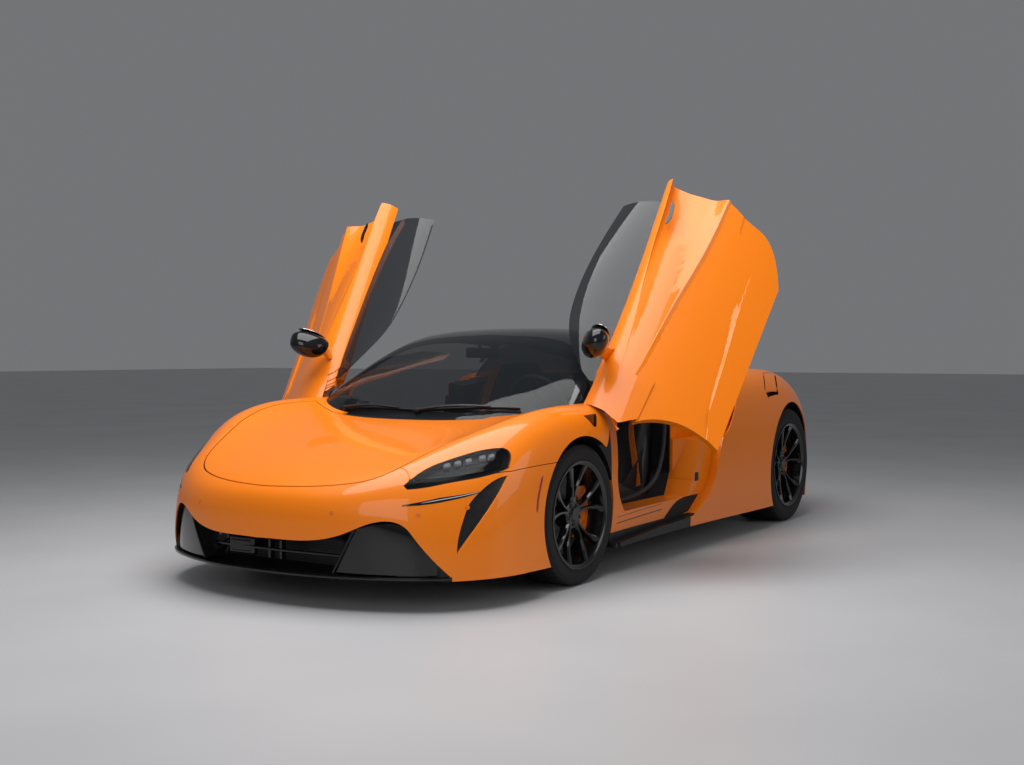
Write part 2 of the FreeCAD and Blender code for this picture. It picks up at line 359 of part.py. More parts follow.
# The slash-shaped air intake below the headlamp seen from the side.
SLASH_SHARES = [
    [(0.1216, 0.4593), (0.1108, 0.4057), (0.0991, 0.3512), (0.0872, 0.2951), (0.0753, 0.2347),
     (0.0692, 0.1978)],
    [(0.0692, 0.1978), (0.0716, 0.2674), (0.0758, 0.3152), (0.0833, 0.3722), (0.0930, 0.4082),
     (0.1132, 0.4535), (0.1216, 0.4593)],
]
# The mesh opening of the tail seen from behind, left half.
MESH_SHARES = [
    [(0.0000, 0.6706), (0.5668, 0.6496)],
    [(0.5668, 0.6496), (0.6174, 0.6203), (0.6356, 0.5868), (0.6073, 0.5532)],
    [(0.6073, 0.5532), (0.5263, 0.4694), (0.4352, 0.4191)],
    [(0.4352, 0.4191), (0.0000, 0.4107)],
]
# The slim tail lamp on the left seen from behind.
TAIL_LAMP_SHARES = [
    [(0.4757, 0.6857), (0.6478, 0.6639)],
    [(0.6478, 0.6639), (0.6984, 0.6370), (0.7237, 0.5951)],
    [(0.7237, 0.5951), (0.7085, 0.5918)],
    [(0.7085, 0.5918), (0.6862, 0.6270), (0.6417, 0.6505)],
    [(0.6417, 0.6505), (0.4757, 0.6723)],
    [(0.4757, 0.6723), (0.4757, 0.6857)],
]
# The diffuser's opening seen from behind, left half.
DIFFUSER_SHARES = [
    [(0.0000, 0.3018), (0.4858, 0.2951)],
    [(0.4858, 0.2951), (0.5668, 0.2515), (0.6073, 0.0838)],
    [(0.6073, 0.0838), (0.0000, 0.0838)],
]
# The wide intake of the front bumper seen from the front, left half.
MOUTH_SHARES = [
    [(0.0000, 0.2381), (0.1883, 0.2397), (0.3583, 0.2531), (0.4423, 0.2749), (0.5040, 0.2984),
     (0.5668, 0.3152), (0.6093, 0.3168)],
    [(0.6093, 0.3168), (0.6488, 0.3068), (0.6721, 0.2917), (0.6862, 0.2766)],
    [(0.6862, 0.2766), (0.7804, 0.1593), (0.8097, 0.1257)],
    [(0.8097, 0.1257), (0.8219, 0.0838)],
    [(0.8219, 0.0838), (0.0000, 0.0838)],
]
# Middle of the left mirror, and the foot of its stalk on the door.
MIRROR_SHARE = (1.0425, 0.3657, 0.7393)
STALK_SHARE = (0.8907, 0.3690, 0.6622)
# The fuel flap's hinge line, rear and front end.
FLAP_HINGE_SHARES = [(0.9100, 0.7639, 0.7687), (0.9475, 0.7467, 0.7267)]


def place(point, side=1):
    """A control point as a position: shares of half width, length from the nose and roof height."""
    across, along, up = point
    return Vector(side * across * half_width, along * size("overall_length") - half_length,
                  up * roof_height)


def spline_knots(count):
    """Even knots and their multiplicities for a clamped cubic with that many control points."""
    spans = count - 3
    return [number / spans for number in range(spans + 1)], [4] + [1] * (spans - 1) + [4]


def pole_parameters(count):
    """The parameter at which each control point pulls hardest: the mean of its three inner knots."""
    knots, repeats = spline_knots(count)
    full = [knot for knot, repeat in zip(knots, repeats) for _ in range(repeat)]
    return [sum(full[number + 1:number + 4]) / 3 for number in range(count)]


def spline_surface(poles):
    along_knots, along_repeats = spline_knots(len(poles))
    across_knots, across_repeats = spline_knots(len(poles[0]))
    surface = Part.BSplineSurface()
    surface.buildFromPolesMultsKnots(poles, along_repeats, across_repeats, along_knots,
                                     across_knots, False, False, 3, 3)
    return surface


def inset_poles(poles, inset, core):
    """Moves each control point inwards along the surface's normal; the rim stays on its plane."""
    surface = spline_surface(poles)
    edge_share = 0.012
    along = [min(max(number, edge_share), 1 - edge_share) for number in pole_parameters(len(poles))]
    across = [min(max(number, edge_share), 1 - edge_share) for number in pole_parameters(len(poles[0]))]
    moved = []
    for row, station in enumerate(poles):
        line = []
        for column, pole in enumerate(station):
            normal = surface.normal(along[row], across[column])
            if normal.dot(surface.value(along[row], across[column]) - core) < 0:
                normal = -normal
            if row in (0, len(poles) - 1) or column in (0, len(station) - 1):
                normal = Vector(normal.x, normal.y, 0)
                normal.normalize()
            line.append(pole - normal * inset)
        moved.append(line)
    return moved


def closed_form(net_shares, inset=0):
    """The solid under a mirrored spline net, its rim closed by a flat face."""
    poles = [[place(point, -1) for point in reversed(station[1:])] + [place(point) for point in station]
             for station in net_shares]
    if inset:
        core = Vector(0, 0, poles[0][0].z)
        poles = inset_poles(poles, inset, core)
    face = spline_surface(poles).toShape()
    rim = Part.Face(Part.Wire(Part.__sortEdges__(face.Edges)))
    solid = Part.Solid(Part.Shell([face, rim]))
    if solid.Volume < 0:
        solid.reverse()
    return solid


def scoop(stations):
    """What lies outside a smooth sheet through the given share points: the sheet swept sideways."""
    surface = Part.BSplineSurface()
    surface.interpolate([[place(point) for point in station] for station in stations])
    return surface.toShape().extrude(Vector(half_width / 2, 0, 0))


def flat_point(point, axis):
    """A point of an outline in shares, on the plane square to the axis it is extruded along."""
    first, second = point
    if axis == "x":
        return Vector(0, first * size("overall_length") - half_length, second * roof_height)
    if axis == "y":
        return Vector(first * half_width, 0, second * roof_height)
    return Vector(first * half_width, second * size("overall_length") - half_length, 0)


def curve_through(points):
    """A straight line through two points, or a smooth curve through more."""
    if len(points) == 2:
        return Part.LineSegment(*points)
    curve = Part.BSplineCurve()
    curve.interpolate(points)
    return curve


def grown_runs(runs, up, distance):
    """Moves every run of a closed outline outwards by a distance, with mitred corners."""
    ring = [point for points in runs for point in points[:-1]]
    area = sum((ring[number - 1].cross(ring[number])).dot(up) for number in range(len(ring)))
    turn = 1 if area > 0 else -1
    normals = []
    for points in runs:
        curve = curve_through(points)
        tangents = [Vector(*curve.tangent(curve.parameter(point))[0]) for point in points]
        normals.append([tangent.cross(up).normalize() * turn for tangent in tangents])
    moved = [[point + normal * distance for point, normal in zip(points, outward)]
             for points, outward in zip(runs, normals)]
    for number in range(len(runs)):
        before, after = normals[number - 1][-1], normals[number][0]
        corner = runs[number][0] + (before + after) * (distance / (1 + before.dot(after)))
        moved[number - 1][-1] = corner
        moved[number][0] = corner
    return moved


def outline(runs, axis, grow=0):
    """A closed wire from runs of share points: two points make a line, more a smooth curve."""
    tracks = [[flat_point(point, axis) for point in run] for run in runs]
    if grow:
        tracks = grown_runs(tracks, ALONG[axis], grow)
    return Part.Wire([curve_through(points).toShape() for points in tracks])


def prism(wire, axis, start, end):
    """The wire extruded from start to end along its axis."""
    wire = wire.copy()
    wire.translate(ALONG[axis] * start)
    return Part.Face(wire).extrude(ALONG[axis] * (end - start))


def mirrored_runs(runs):
    """Runs from the centre line round one side, followed by their mirror image."""
    return runs + [[(-across, other) for across, other in reversed(run)] for run in reversed(runs)]


def box(low, high):
    low, high = Vector(*low), Vector(*high)
    return Part.makeBox(high.x - low.x, high.y - low.y, high.z - low.z, low)


def drum(radius, axle, height, inner, outer):
    """A cylinder across the car about an axle, from one distance off the centre line to another."""
    return Part.makeCylinder(radius, outer - inner, Vector(inner, axle, height), ALONG["x"])


def mirrored(shape):
    return shape.mirror(Vector(0, 0, 0), ALONG["x"])


def both_sides(shape):
    return Part.makeCompound([shape, mirrored(shape)])


def largest(shape):
    """The largest solid of a shape, which leaves off slivers past an edge."""
    return max(shape.Solids, key=lambda solid: solid.Volume)


def rod(start, end, radius):
    """A round bar between two points."""
    run = end - start
    return Part.makeCylinder(radius, run.Length, start, run)


def fused(shapes):
    return shapes[0].multiFuse(shapes[1:]) if len(shapes) > 1 else shapes[0]


parts = {}


def keep(label, shape, placement=None):
    """Adds one sub-part to the document under its own name."""
    feature = document.addObject("Part::Feature", label)
    feature.Label = label
    feature.Shape = shape
    if placement:
        feature.Placement = placement
    parts[label] = feature
    return feature

# The surfaces that every panel and the structure are cut from.
left_reach = half_width + overrun
high = roof_height + overrun
tall = 2 * roof_height
body_form = closed_form(BODY_NET_SHARES)
skin_form = closed_form(BODY_NET_SHARES, skin)
structure_form = closed_form(BODY_NET_SHARES, skin + seat)
door_core_form = closed_form(BODY_NET_SHARES, size("door_skin_depth"))
jamb_form = closed_form(BODY_NET_SHARES, size("door_skin_depth") + shut)
body_seat_form = closed_form(BODY_NET_SHARES, -seat)
body_clear_form = closed_form(BODY_NET_SHARES, -shut)
glasshouse_form = closed_form(GLASSHOUSE_NET_SHARES)
glasshouse_seat_form = closed_form(GLASSHOUSE_NET_SHARES, -seat)
glass_core_form = closed_form(GLASSHOUSE_NET_SHARES, size("glass_thickness"))
glass_slot_form = closed_form(GLASSHOUSE_NET_SHARES, size("glass_thickness") + seat)
glasshouse_clear_form = closed_form(GLASSHOUSE_NET_SHARES, -shut)
pillar_clear_form = closed_form(GLASSHOUSE_NET_SHARES, -2 * shut)
glass_clear_form = closed_form(GLASSHOUSE_NET_SHARES, size("glass_thickness") + shut)
roof_core_form = closed_form(GLASSHOUSE_NET_SHARES, size("roof_thickness"))

skin_shell = body_form.cut(skin_form)
canopy = glasshouse_form.cut(roof_core_form)
glass_shell = glasshouse_form.cut(glass_core_form)

# Wheel arches in the panels, and the larger wheelhouses in the structure behind them.
wheel_height = {"front": front_wheel_radius, "rear": rear_wheel_radius}
axle = {"front": front_axle, "rear": rear_axle}
wall = {"front": size("wheelhouse_wall_reach"), "rear": size("rear_wall_reach")}
arch = {end: both_sides(drum(size(end + "_arch_radius"), axle[end], wheel_height[end],
                             wall[end], left_reach)) for end in ("front", "rear")}
wheelhouse = {end: both_sides(drum(size(end + "_arch_radius") + 2 * skin, axle[end],
                                   wheel_height[end], wall[end], left_reach))
              for end in ("front", "rear")}

# Openings that the moving panels leave, each grown by its gap.
half_shut = shut / 2
half_gap = gap / 2
block_reach = size("door_inner_reach")
door_prism = prism(outline(DOOR_EDGE_SHARES, "x"), "x", block_reach - size("jamb_step") + shut, left_reach)
door_opening = prism(outline(DOOR_EDGE_SHARES, "x", shut), "x", block_reach - size("jamb_step") - seat,
                     left_reach)
shoulder = prism(outline(DOOR_SHOULDER_SHARES, "z"), "z", 0, tall)
shoulder_open = prism(outline(DOOR_SHOULDER_SHARES, "z", -shut), "z", 0, tall)
slant = prism(outline(JAMB_SLANT_SHARES, "z"), "z", 0, tall)
slant_open = prism(outline(JAMB_SLANT_SHARES, "z", -shut), "z", 0, tall)
block = prism(outline(DOOR_BLOCK_SHARES, "x"), "x", block_reach, left_reach).cut(slant)
block_opening = prism(outline(DOOR_BLOCK_SHARES, "x", shut), "x", size("cabin_half_width") - overrun,
                      left_reach).cut(slant_open)
jamb_reach = block_reach - size("jamb_step")
backing = prism(outline(DOOR_BACKING_SHARES, "x"), "x", jamb_reach + shut, left_reach)
backing_room = prism(outline(DOOR_BACKING_SHARES, "x", shut), "x", jamb_reach - seat, left_reach)
door_room = fused([door_opening.cut(shoulder_open).cut(jamb_form), block_opening,
                   backing_room.common(door_opening)])
glass_opening = prism(outline(DOOR_GLASS_SHARES, "x", shut), "x", size("cabin_half_width") - 10 * overrun,
                      left_reach)
glass_side_room = glass_opening.cut(glass_clear_form)
door_channel = scoop(DOOR_CHANNEL_SHARES)
door_valley = scoop(DOOR_VALLEY_SHARES)
intake_duct = prism(outline(INTAKE_DUCT_SHARES, "x"), "x", jamb_reach - seat, left_reach)
intake_opening = prism(outline(INTAKE_OPENING_SHARES, "x"), "x", jamb_reach, left_reach)
hood_prism = prism(outline(mirrored_runs(HOOD_EDGE_SHARES), "z", -half_shut), "z", 0, tall)
hood_opening = prism(outline(mirrored_runs(HOOD_EDGE_SHARES), "z", half_shut), "z", 0, tall)
fender_reach = size("cabin_half_width") - 10 * overrun
fender_prism = prism(outline(FENDER_EDGE_SHARES, "x", -half_gap), "x", fender_reach, left_reach)
fender_opening = prism(outline(FENDER_EDGE_SHARES, "x", half_gap), "x", fender_reach, left_reach)
lamp_prism = prism(outline(LAMP_SHARES, "x"), "x", fender_reach, left_reach)
lamp_opening = prism(outline(LAMP_SHARES, "x", seat), "x", fender_reach, left_reach)
slash_opening = prism(outline(SLASH_SHARES, "x"), "x", fender_reach, left_reach)
mouth_opening = prism(outline(mirrored_runs(MOUTH_SHARES), "y"), "y",
                      -half_length - overrun, front_axle - size("wheelhouse_wall_reach"))

# Panels. Each is the skin inside its own outline, less its neighbours grown by a gap.
left_half = box((0, -half_length - overrun, 0), (left_reach, half_length + overrun, tall))
tail_seam = front_axle + size("tail_seam_behind_axle")
door_rear = front_axle + size("door_rear_behind_axle")
front_zone = box((-left_reach, -half_length - overrun, 0), (left_reach, door_rear, tall))
nose_zone = box((-left_reach, -half_length - overrun, 0), (left_reach, front_axle, tall))

hood = skin_shell.common(hood_prism)
keep("hood", largest(hood))

front_skin = skin_shell.common(front_zone).cut(hood_opening).cut(glasshouse_seat_form)
fender = front_skin.common(fender_prism).cut(door_opening.cut(shoulder_open)).cut(arch["front"])
fender = largest(fender.cut(lamp_opening))
keep("fender_left", fender)
keep("fender_right", mirrored(fender))

bumper = front_skin.common(nose_zone).cut(both_sides(fender_opening)).cut(arch["front"])
bumper = bumper.cut(both_sides(lamp_opening)).cut(both_sides(slash_opening)).cut(mouth_opening)
keep("front_bumper", largest(bumper))

rear_zone = box((0, front_axle + size("quarter_behind_axle"), 0), (left_reach, tail_seam - half_gap, tall))
buttress = canopy.common(prism(outline(REAR_SIDE_SHARES, "z"), "z", 0, tall)).cut(skin_form)
jamb_zone = box((size("door_inner_reach") - size("jamb_step"), front_axle + size("jamb_front_behind_axle"),
                 size("tub_sill_height")), (left_reach, front_axle + size("jamb_rear_behind_axle"), high))
quarter = fused([skin_shell.common(rear_zone).cut(glasshouse_seat_form), buttress,
                 body_form.common(jamb_zone).cut(intake_duct)]).cut(intake_opening)
quarter = quarter.cut(door_room).cut(door_opening.cut(jamb_form)).cut(arch["rear"]).cut(glass_side_room)
flap_prism = prism(outline(FUEL_FLAP_SHARES, "z", -half_shut), "z", size("fuel_flap_floor"), tall)
flap_opening = prism(outline(FUEL_FLAP_SHARES, "z", half_shut), "z", size("fuel_flap_floor"), tall)
quarter = largest(quarter)
keep("quarter_left", largest(quarter.cut(flap_opening)))
keep("quarter_right", mirrored(quarter))

flap_rear, flap_front = [place(share) for share in FLAP_HINGE_SHARES]


def flap_turned(shape, angle):
    """A copy of a shape turned about the fuel flap's hinge line."""
    moved = shape.copy()
    moved.rotate(flap_rear, flap_front - flap_rear, angle)
    return moved


flap_zone = box(Vector(flap_rear.x - 8 * overrun, flap_front.y - 4 * overrun, size("fuel_flap_floor")),
                Vector(left_reach, flap_front.y + size("rear_arch_radius") + 2 * overrun, tall))
flap_rim = body_clear_form.common(flap_zone).cut(flap_prism)
flap = skin_shell.common(flap_prism)
for share in FLAP_SWEEP_SHARES:
    flap = flap.cut(flap_turned(flap_rim, -share * size("flap_open_angle")))
keep("fuel_flap", largest(flap))

tail_zone = box((-left_reach, tail_seam + half_gap, 0), (left_reach, half_length + overrun, tall))
tail_shell = skin_shell.common(tail_zone).cut(arch["rear"]).cut(both_sides(buttress))
tail_shell = tail_shell.cut(glasshouse_seat_form)
mesh_opening = prism(outline(mirrored_runs(MESH_SHARES), "y"), "y", rear_axle, half_length + overrun)
diffuser_opening = prism(outline(mirrored_runs(DIFFUSER_SHARES), "y"), "y", rear_axle,
                         half_length + overrun)
lamp_slot = prism(outline(TAIL_LAMP_SHARES, "y"), "y", rear_axle, half_length + overrun)
tail_shell = tail_shell.cut(mesh_opening).cut(diffuser_opening).cut(both_sides(lamp_slot))
keep("rear_bumper", largest(tail_shell))



def opened(side):
    """The raised position of a door: turned about its slanted hinge axis."""
    turn = math.radians(size("door_axis_turn"))
    tilt = math.radians(size("door_axis_tilt"))
    axis = Vector(side * math.cos(tilt) * math.cos(turn), math.cos(tilt) * math.sin(turn), math.sin(tilt))
    pivot = Vector(side * size("door_hinge_reach"), front_axle + size("door_hinge_behind_axle"),
                   size("door_hinge_height"))
    rotation = Rotation(axis, side * size("door_open_angle"))
    return Placement(pivot - rotation.multVec(pivot), rotation)


def swing(shape, angle):
    """A left-hand shape turned about the left door's hinge, from the closed place towards open."""
    share = angle / size("door_open_angle")
    pivot = opened(1)
    axis = pivot.Rotation.Axis
    turned_by = Rotation(axis, math.degrees(pivot.Rotation.Angle) * share)
    centre = Vector(size("door_hinge_reach"), front_axle + size("door_hinge_behind_axle"),
                    size("door_hinge_height"))
    moved = shape.copy()
    moved.Placement = Placement(centre - turned_by.multVec(centre), turned_by)
    return moved


# Doors: the outer skin, the deep block that fills the opening, and a slot that the glass stands in.
door = body_form.common(door_prism).cut(shoulder)
door = door.cut(door_core_form.cut(fused([block, backing]))).cut(door_channel).cut(door_valley)
glass_prism = prism(outline(DOOR_GLASS_SHARES, "x"), "x", fender_reach, left_reach)
glass_slot = glasshouse_seat_form.cut(glass_slot_form)
glass_slot = glass_slot.common(prism(outline(DOOR_GLASS_SHARES, "x", seat), "x", fender_reach, left_reach))
corner_zone = box((block_reach - 4 * overrun, front_axle + size("hinge_zone_behind_axle"),
                   size("hinge_zone_bottom")),
                  (left_reach, front_axle + size("hinge_zone_end_behind_axle"), size("hinge_zone_top")))
corner = body_clear_form.common(corner_zone).cut(door)
pillar = pillar_clear_form.cut(body_form).common(corner_zone).cut(glass_opening)
for share in HINGE_SWEEP_SHARES:
    angle = share * size("door_open_angle")
    door = door.cut([swing(corner, -angle), swing(pillar, -angle)])
door = largest(door.cut(glass_slot))
keep("door_left", door, opened(1))
keep("door_right", mirrored(door), opened(-1))
door_glass = largest(glass_shell.common(glass_prism))
keep("door_glass_left", door_glass, opened(1))
keep("door_glass_right", mirrored(door_glass), opened(-1))

# Glass and roof.
windscreen_wire = outline(mirrored_runs(WINDSCREEN_SHARES), "z")
windscreen = glass_shell.common(prism(windscreen_wire, "z", 0, tall)).cut(skin_form)
keep("windscreen", largest(windscreen))
rear_window_wire = outline(mirrored_runs(REAR_WINDOW_SHARES), "z")
keep("rear_window", largest(glass_shell.common(prism(rear_window_wire, "z", 0, tall))))
roof = canopy.cut(body_seat_form)
roof = roof.cut(prism(outline(mirrored_runs(WINDSCREEN_SHARES), "z", seat), "z", 0, tall))
roof = roof.cut(prism(outline(mirrored_runs(REAR_WINDOW_SHARES), "z", seat), "z", 0, tall))
foot_room = prism(outline(DOOR_EDGE_SHARES, "x", 3 * shut), "x", jamb_reach - seat, left_reach)
roof = roof.cut(both_sides(glass_opening)).cut(both_sides(foot_room.common(body_clear_form)))
glass_room = glasshouse_clear_form.cut(glass_clear_form).common(glass_opening)
for share in GLASS_SWEEP_SHARES:
    roof = roof.cut(both_sides(swing(glass_room, share * size("door_open_angle"))))
roof = roof.cut(both_sides(prism(outline(REAR_SIDE_SHARES, "z", seat), "z", 0, tall)))
keep("roof", largest(roof))

# Structure behind the panels. It drops away under the hood's hinged edge.
hood_room = box((-left_reach, front_axle - size("hood_room_ahead_of_axle"), 0), (left_reach, door_rear, tall))
hood_room = hood_room.common(hood_opening).cut(closed_form(BODY_NET_SHARES, skin + seat + shut))
tub_front = front_axle + size("tub_front_behind_axle")
tub_rear = front_axle + size("cabin_rear_behind_axle") + size("bulkhead_thickness")
tub = structure_form.common(box((-left_reach, tub_front, 0), (left_reach, tub_rear, high)))
cabin_half = size("cabin_half_width")
cabin_front = front_axle + size("cabin_front_behind_axle")
cabin_rear = front_axle + size("cabin_rear_behind_axle")
tub = tub.cut(box((-cabin_half, cabin_front, size("cabin_floor")), (cabin_half, cabin_rear, high)))
jamb_room = box((size("door_inner_reach") - size("jamb_step") - seat,
                 front_axle + size("jamb_front_behind_axle") - seat, size("tub_sill_height") - seat),
                (left_reach, front_axle + size("jamb_rear_behind_axle") + seat, high))
tub = tub.cut(both_sides(door_room)).cut(both_sides(jamb_room)).cut(wheelhouse["front"]).cut(hood_room)
tub = tub.cut(both_sides(buttress)).cut(both_sides(intake_duct)).cut(both_sides(glass_side_room))
skirt_core_form = closed_form(BODY_NET_SHARES, size("door_skin_depth") + seat)
sill_zone = box((cabin_half, front_axle + size("front_arch_radius"), 0),
                (left_reach, front_axle + size("quarter_behind_axle") - gap, size("tub_sill_height")))
tub = tub.cut(both_sides(sill_zone.cut(skirt_core_form)))
keep("tub", largest(tub))

front = structure_form.common(box((-left_reach, -half_length - overrun, 0),
                                  (left_reach, tub_front - seat, high)))
trunk_half = size("trunk_half_width")
front = front.cut(box((-trunk_half, front_axle - size("trunk_front_ahead_of_axle"), size("trunk_floor")),
                      (trunk_half, front_axle - size("trunk_rear_ahead_of_axle"), high)))
mouth_recess = prism(outline(mirrored_runs(MOUTH_SHARES), "y"), "y", -half_length - overrun,
                     front_axle - size("radiator_ahead_of_axle"))
front = front.cut(mouth_recess).cut(wheelhouse["front"])
lamp_recess = prism(outline(LAMP_SHARES, "x", seat), "x", size("lamp_inner_reach"), left_reach)
front = front.cut(both_sides(lamp_recess))
front = front.cut(both_sides(door_room)).cut(hood_room)
keep("front_structure", largest(front))

rear = structure_form.common(box((-left_reach, tub_rear + seat, 0), (left_reach, half_length + overrun, high)))
bay_half = size("engine_bay_half_width")
rear = rear.cut(box((-bay_half, tub_rear + size("bulkhead_thickness") / 2, size("engine_bay_floor")),
                    (bay_half, rear_axle + size("engine_bay_behind_axle"), high)))
rear = rear.cut(wheelhouse["rear"]).cut(both_sides(buttress)).cut(both_sides(jamb_room))
rear = rear.cut(both_sides(intake_duct)).cut(flap_opening.cut(closed_form(BODY_NET_SHARES,
                                                                          size("flap_pocket_depth"))))
mesh_recess = prism(outline(mirrored_runs(MESH_SHARES), "y"), "y", half_length - size("mesh_depth"),
                    half_length + overrun)
diffuser_recess = prism(outline(mirrored_runs(DIFFUSER_SHARES), "y", seat), "y",
                        half_length - size("diffuser_depth"), half_length + overrun)
rear = rear.cut(mesh_recess).cut(diffuser_recess)
keep("rear_structure", largest(rear))

# Sills below the doors, lamps, grilles and the diffuser.
side_skirt = body_form.common(sill_zone).cut(door_core_form).cut(arch["front"])
side_skirt = side_skirt.cut(door_opening)
keep("side_skirts", both_sides(largest(side_skirt)))

lens = body_form.cut(closed_form(BODY_NET_SHARES, size("lens_thickness"))).common(lamp_prism)
lens = largest(lens)
keep("headlamps", both_sides(lens))

tail_lens = skin_shell.common(prism(outline(TAIL_LAMP_SHARES, "y", -seat), "y",
                                    rear_axle, half_length + overrun))
keep("tail_lamps", both_sides(largest(tail_lens)))

mouth_core = closed_form(BODY_NET_SHARES, 4 * running)
mouth_wire = outline(mirrored_runs(MOUTH_SHARES), "y", -gap)
mouth_plug = mouth_core.common(prism(mouth_wire, "y", -half_length - overrun,
                                     front_axle - size("radiator_ahead_of_axle") - seat))
slats = []
slat_count = int(size("slat_count"))
slat_pitch = (size("slat_top") - floor_height) / slat_count
for number in range(slat_count):
    low = floor_height + number * slat_pitch
    slats.append(box((-left_reach, -half_length - overrun, low),
                     (left_reach, half_length, low + size("slat_thickness"))))
front_grille = mouth_plug.common(fused([
    box((-left_reach, front_axle - size("radiator_ahead_of_axle") - 2 * overrun, 0),
        (left_reach, 0, high))] + slats))
keep("front_grille", largest(front_grille))

fins = [box((-size("slat_thickness") / 2 + spot, half_length - size("diffuser_depth"), floor_height),
            (size("slat_thickness") / 2 + spot, half_length + overrun, size("diffuser_roof")))
        for spot in [size("fin_pitch") * (number + 0.5 - size("fin_count") / 2)
                     for number in range(int(size("fin_count")))]]
diffuser_core = closed_form(BODY_NET_SHARES, running)
diffuser_wire = outline(mirrored_runs(DIFFUSER_SHARES), "y", -seat)
diffuser = prism(diffuser_wire, "y", half_length - size("diffuser_depth") + seat, half_length + overrun)
ramp = Part.Face(Part.makePolygon([
    Vector(-left_reach, half_length - size("diffuser_depth"), 0),
    Vector(-left_reach, half_length - size("diffuser_depth"), floor_height),
    Vector(-left_reach, half_length + overrun, size("diffuser_roof")),
    Vector(-left_reach, half_length + overrun, 0),
    Vector(-left_reach, half_length - size("diffuser_depth"), 0)])).extrude(Vector(2 * left_reach, 0, 0))
diffuser = fused([diffuser.cut(ramp), diffuser.common(fused(fins))]).common(diffuser_core)
keep("diffuser", largest(diffuser))


def turned(profile, centre):
    """A ring about an axis across the car from (distance along it, radius) points."""
    points = [Vector(reach, 0, radius) for reach, radius in profile]
    face = Part.Face(Part.makePolygon(points + points[:1]))
    ring = face.revolve(Vector(0, 0, 0), ALONG["x"], 360)
    ring.translate(centre)
    return ring


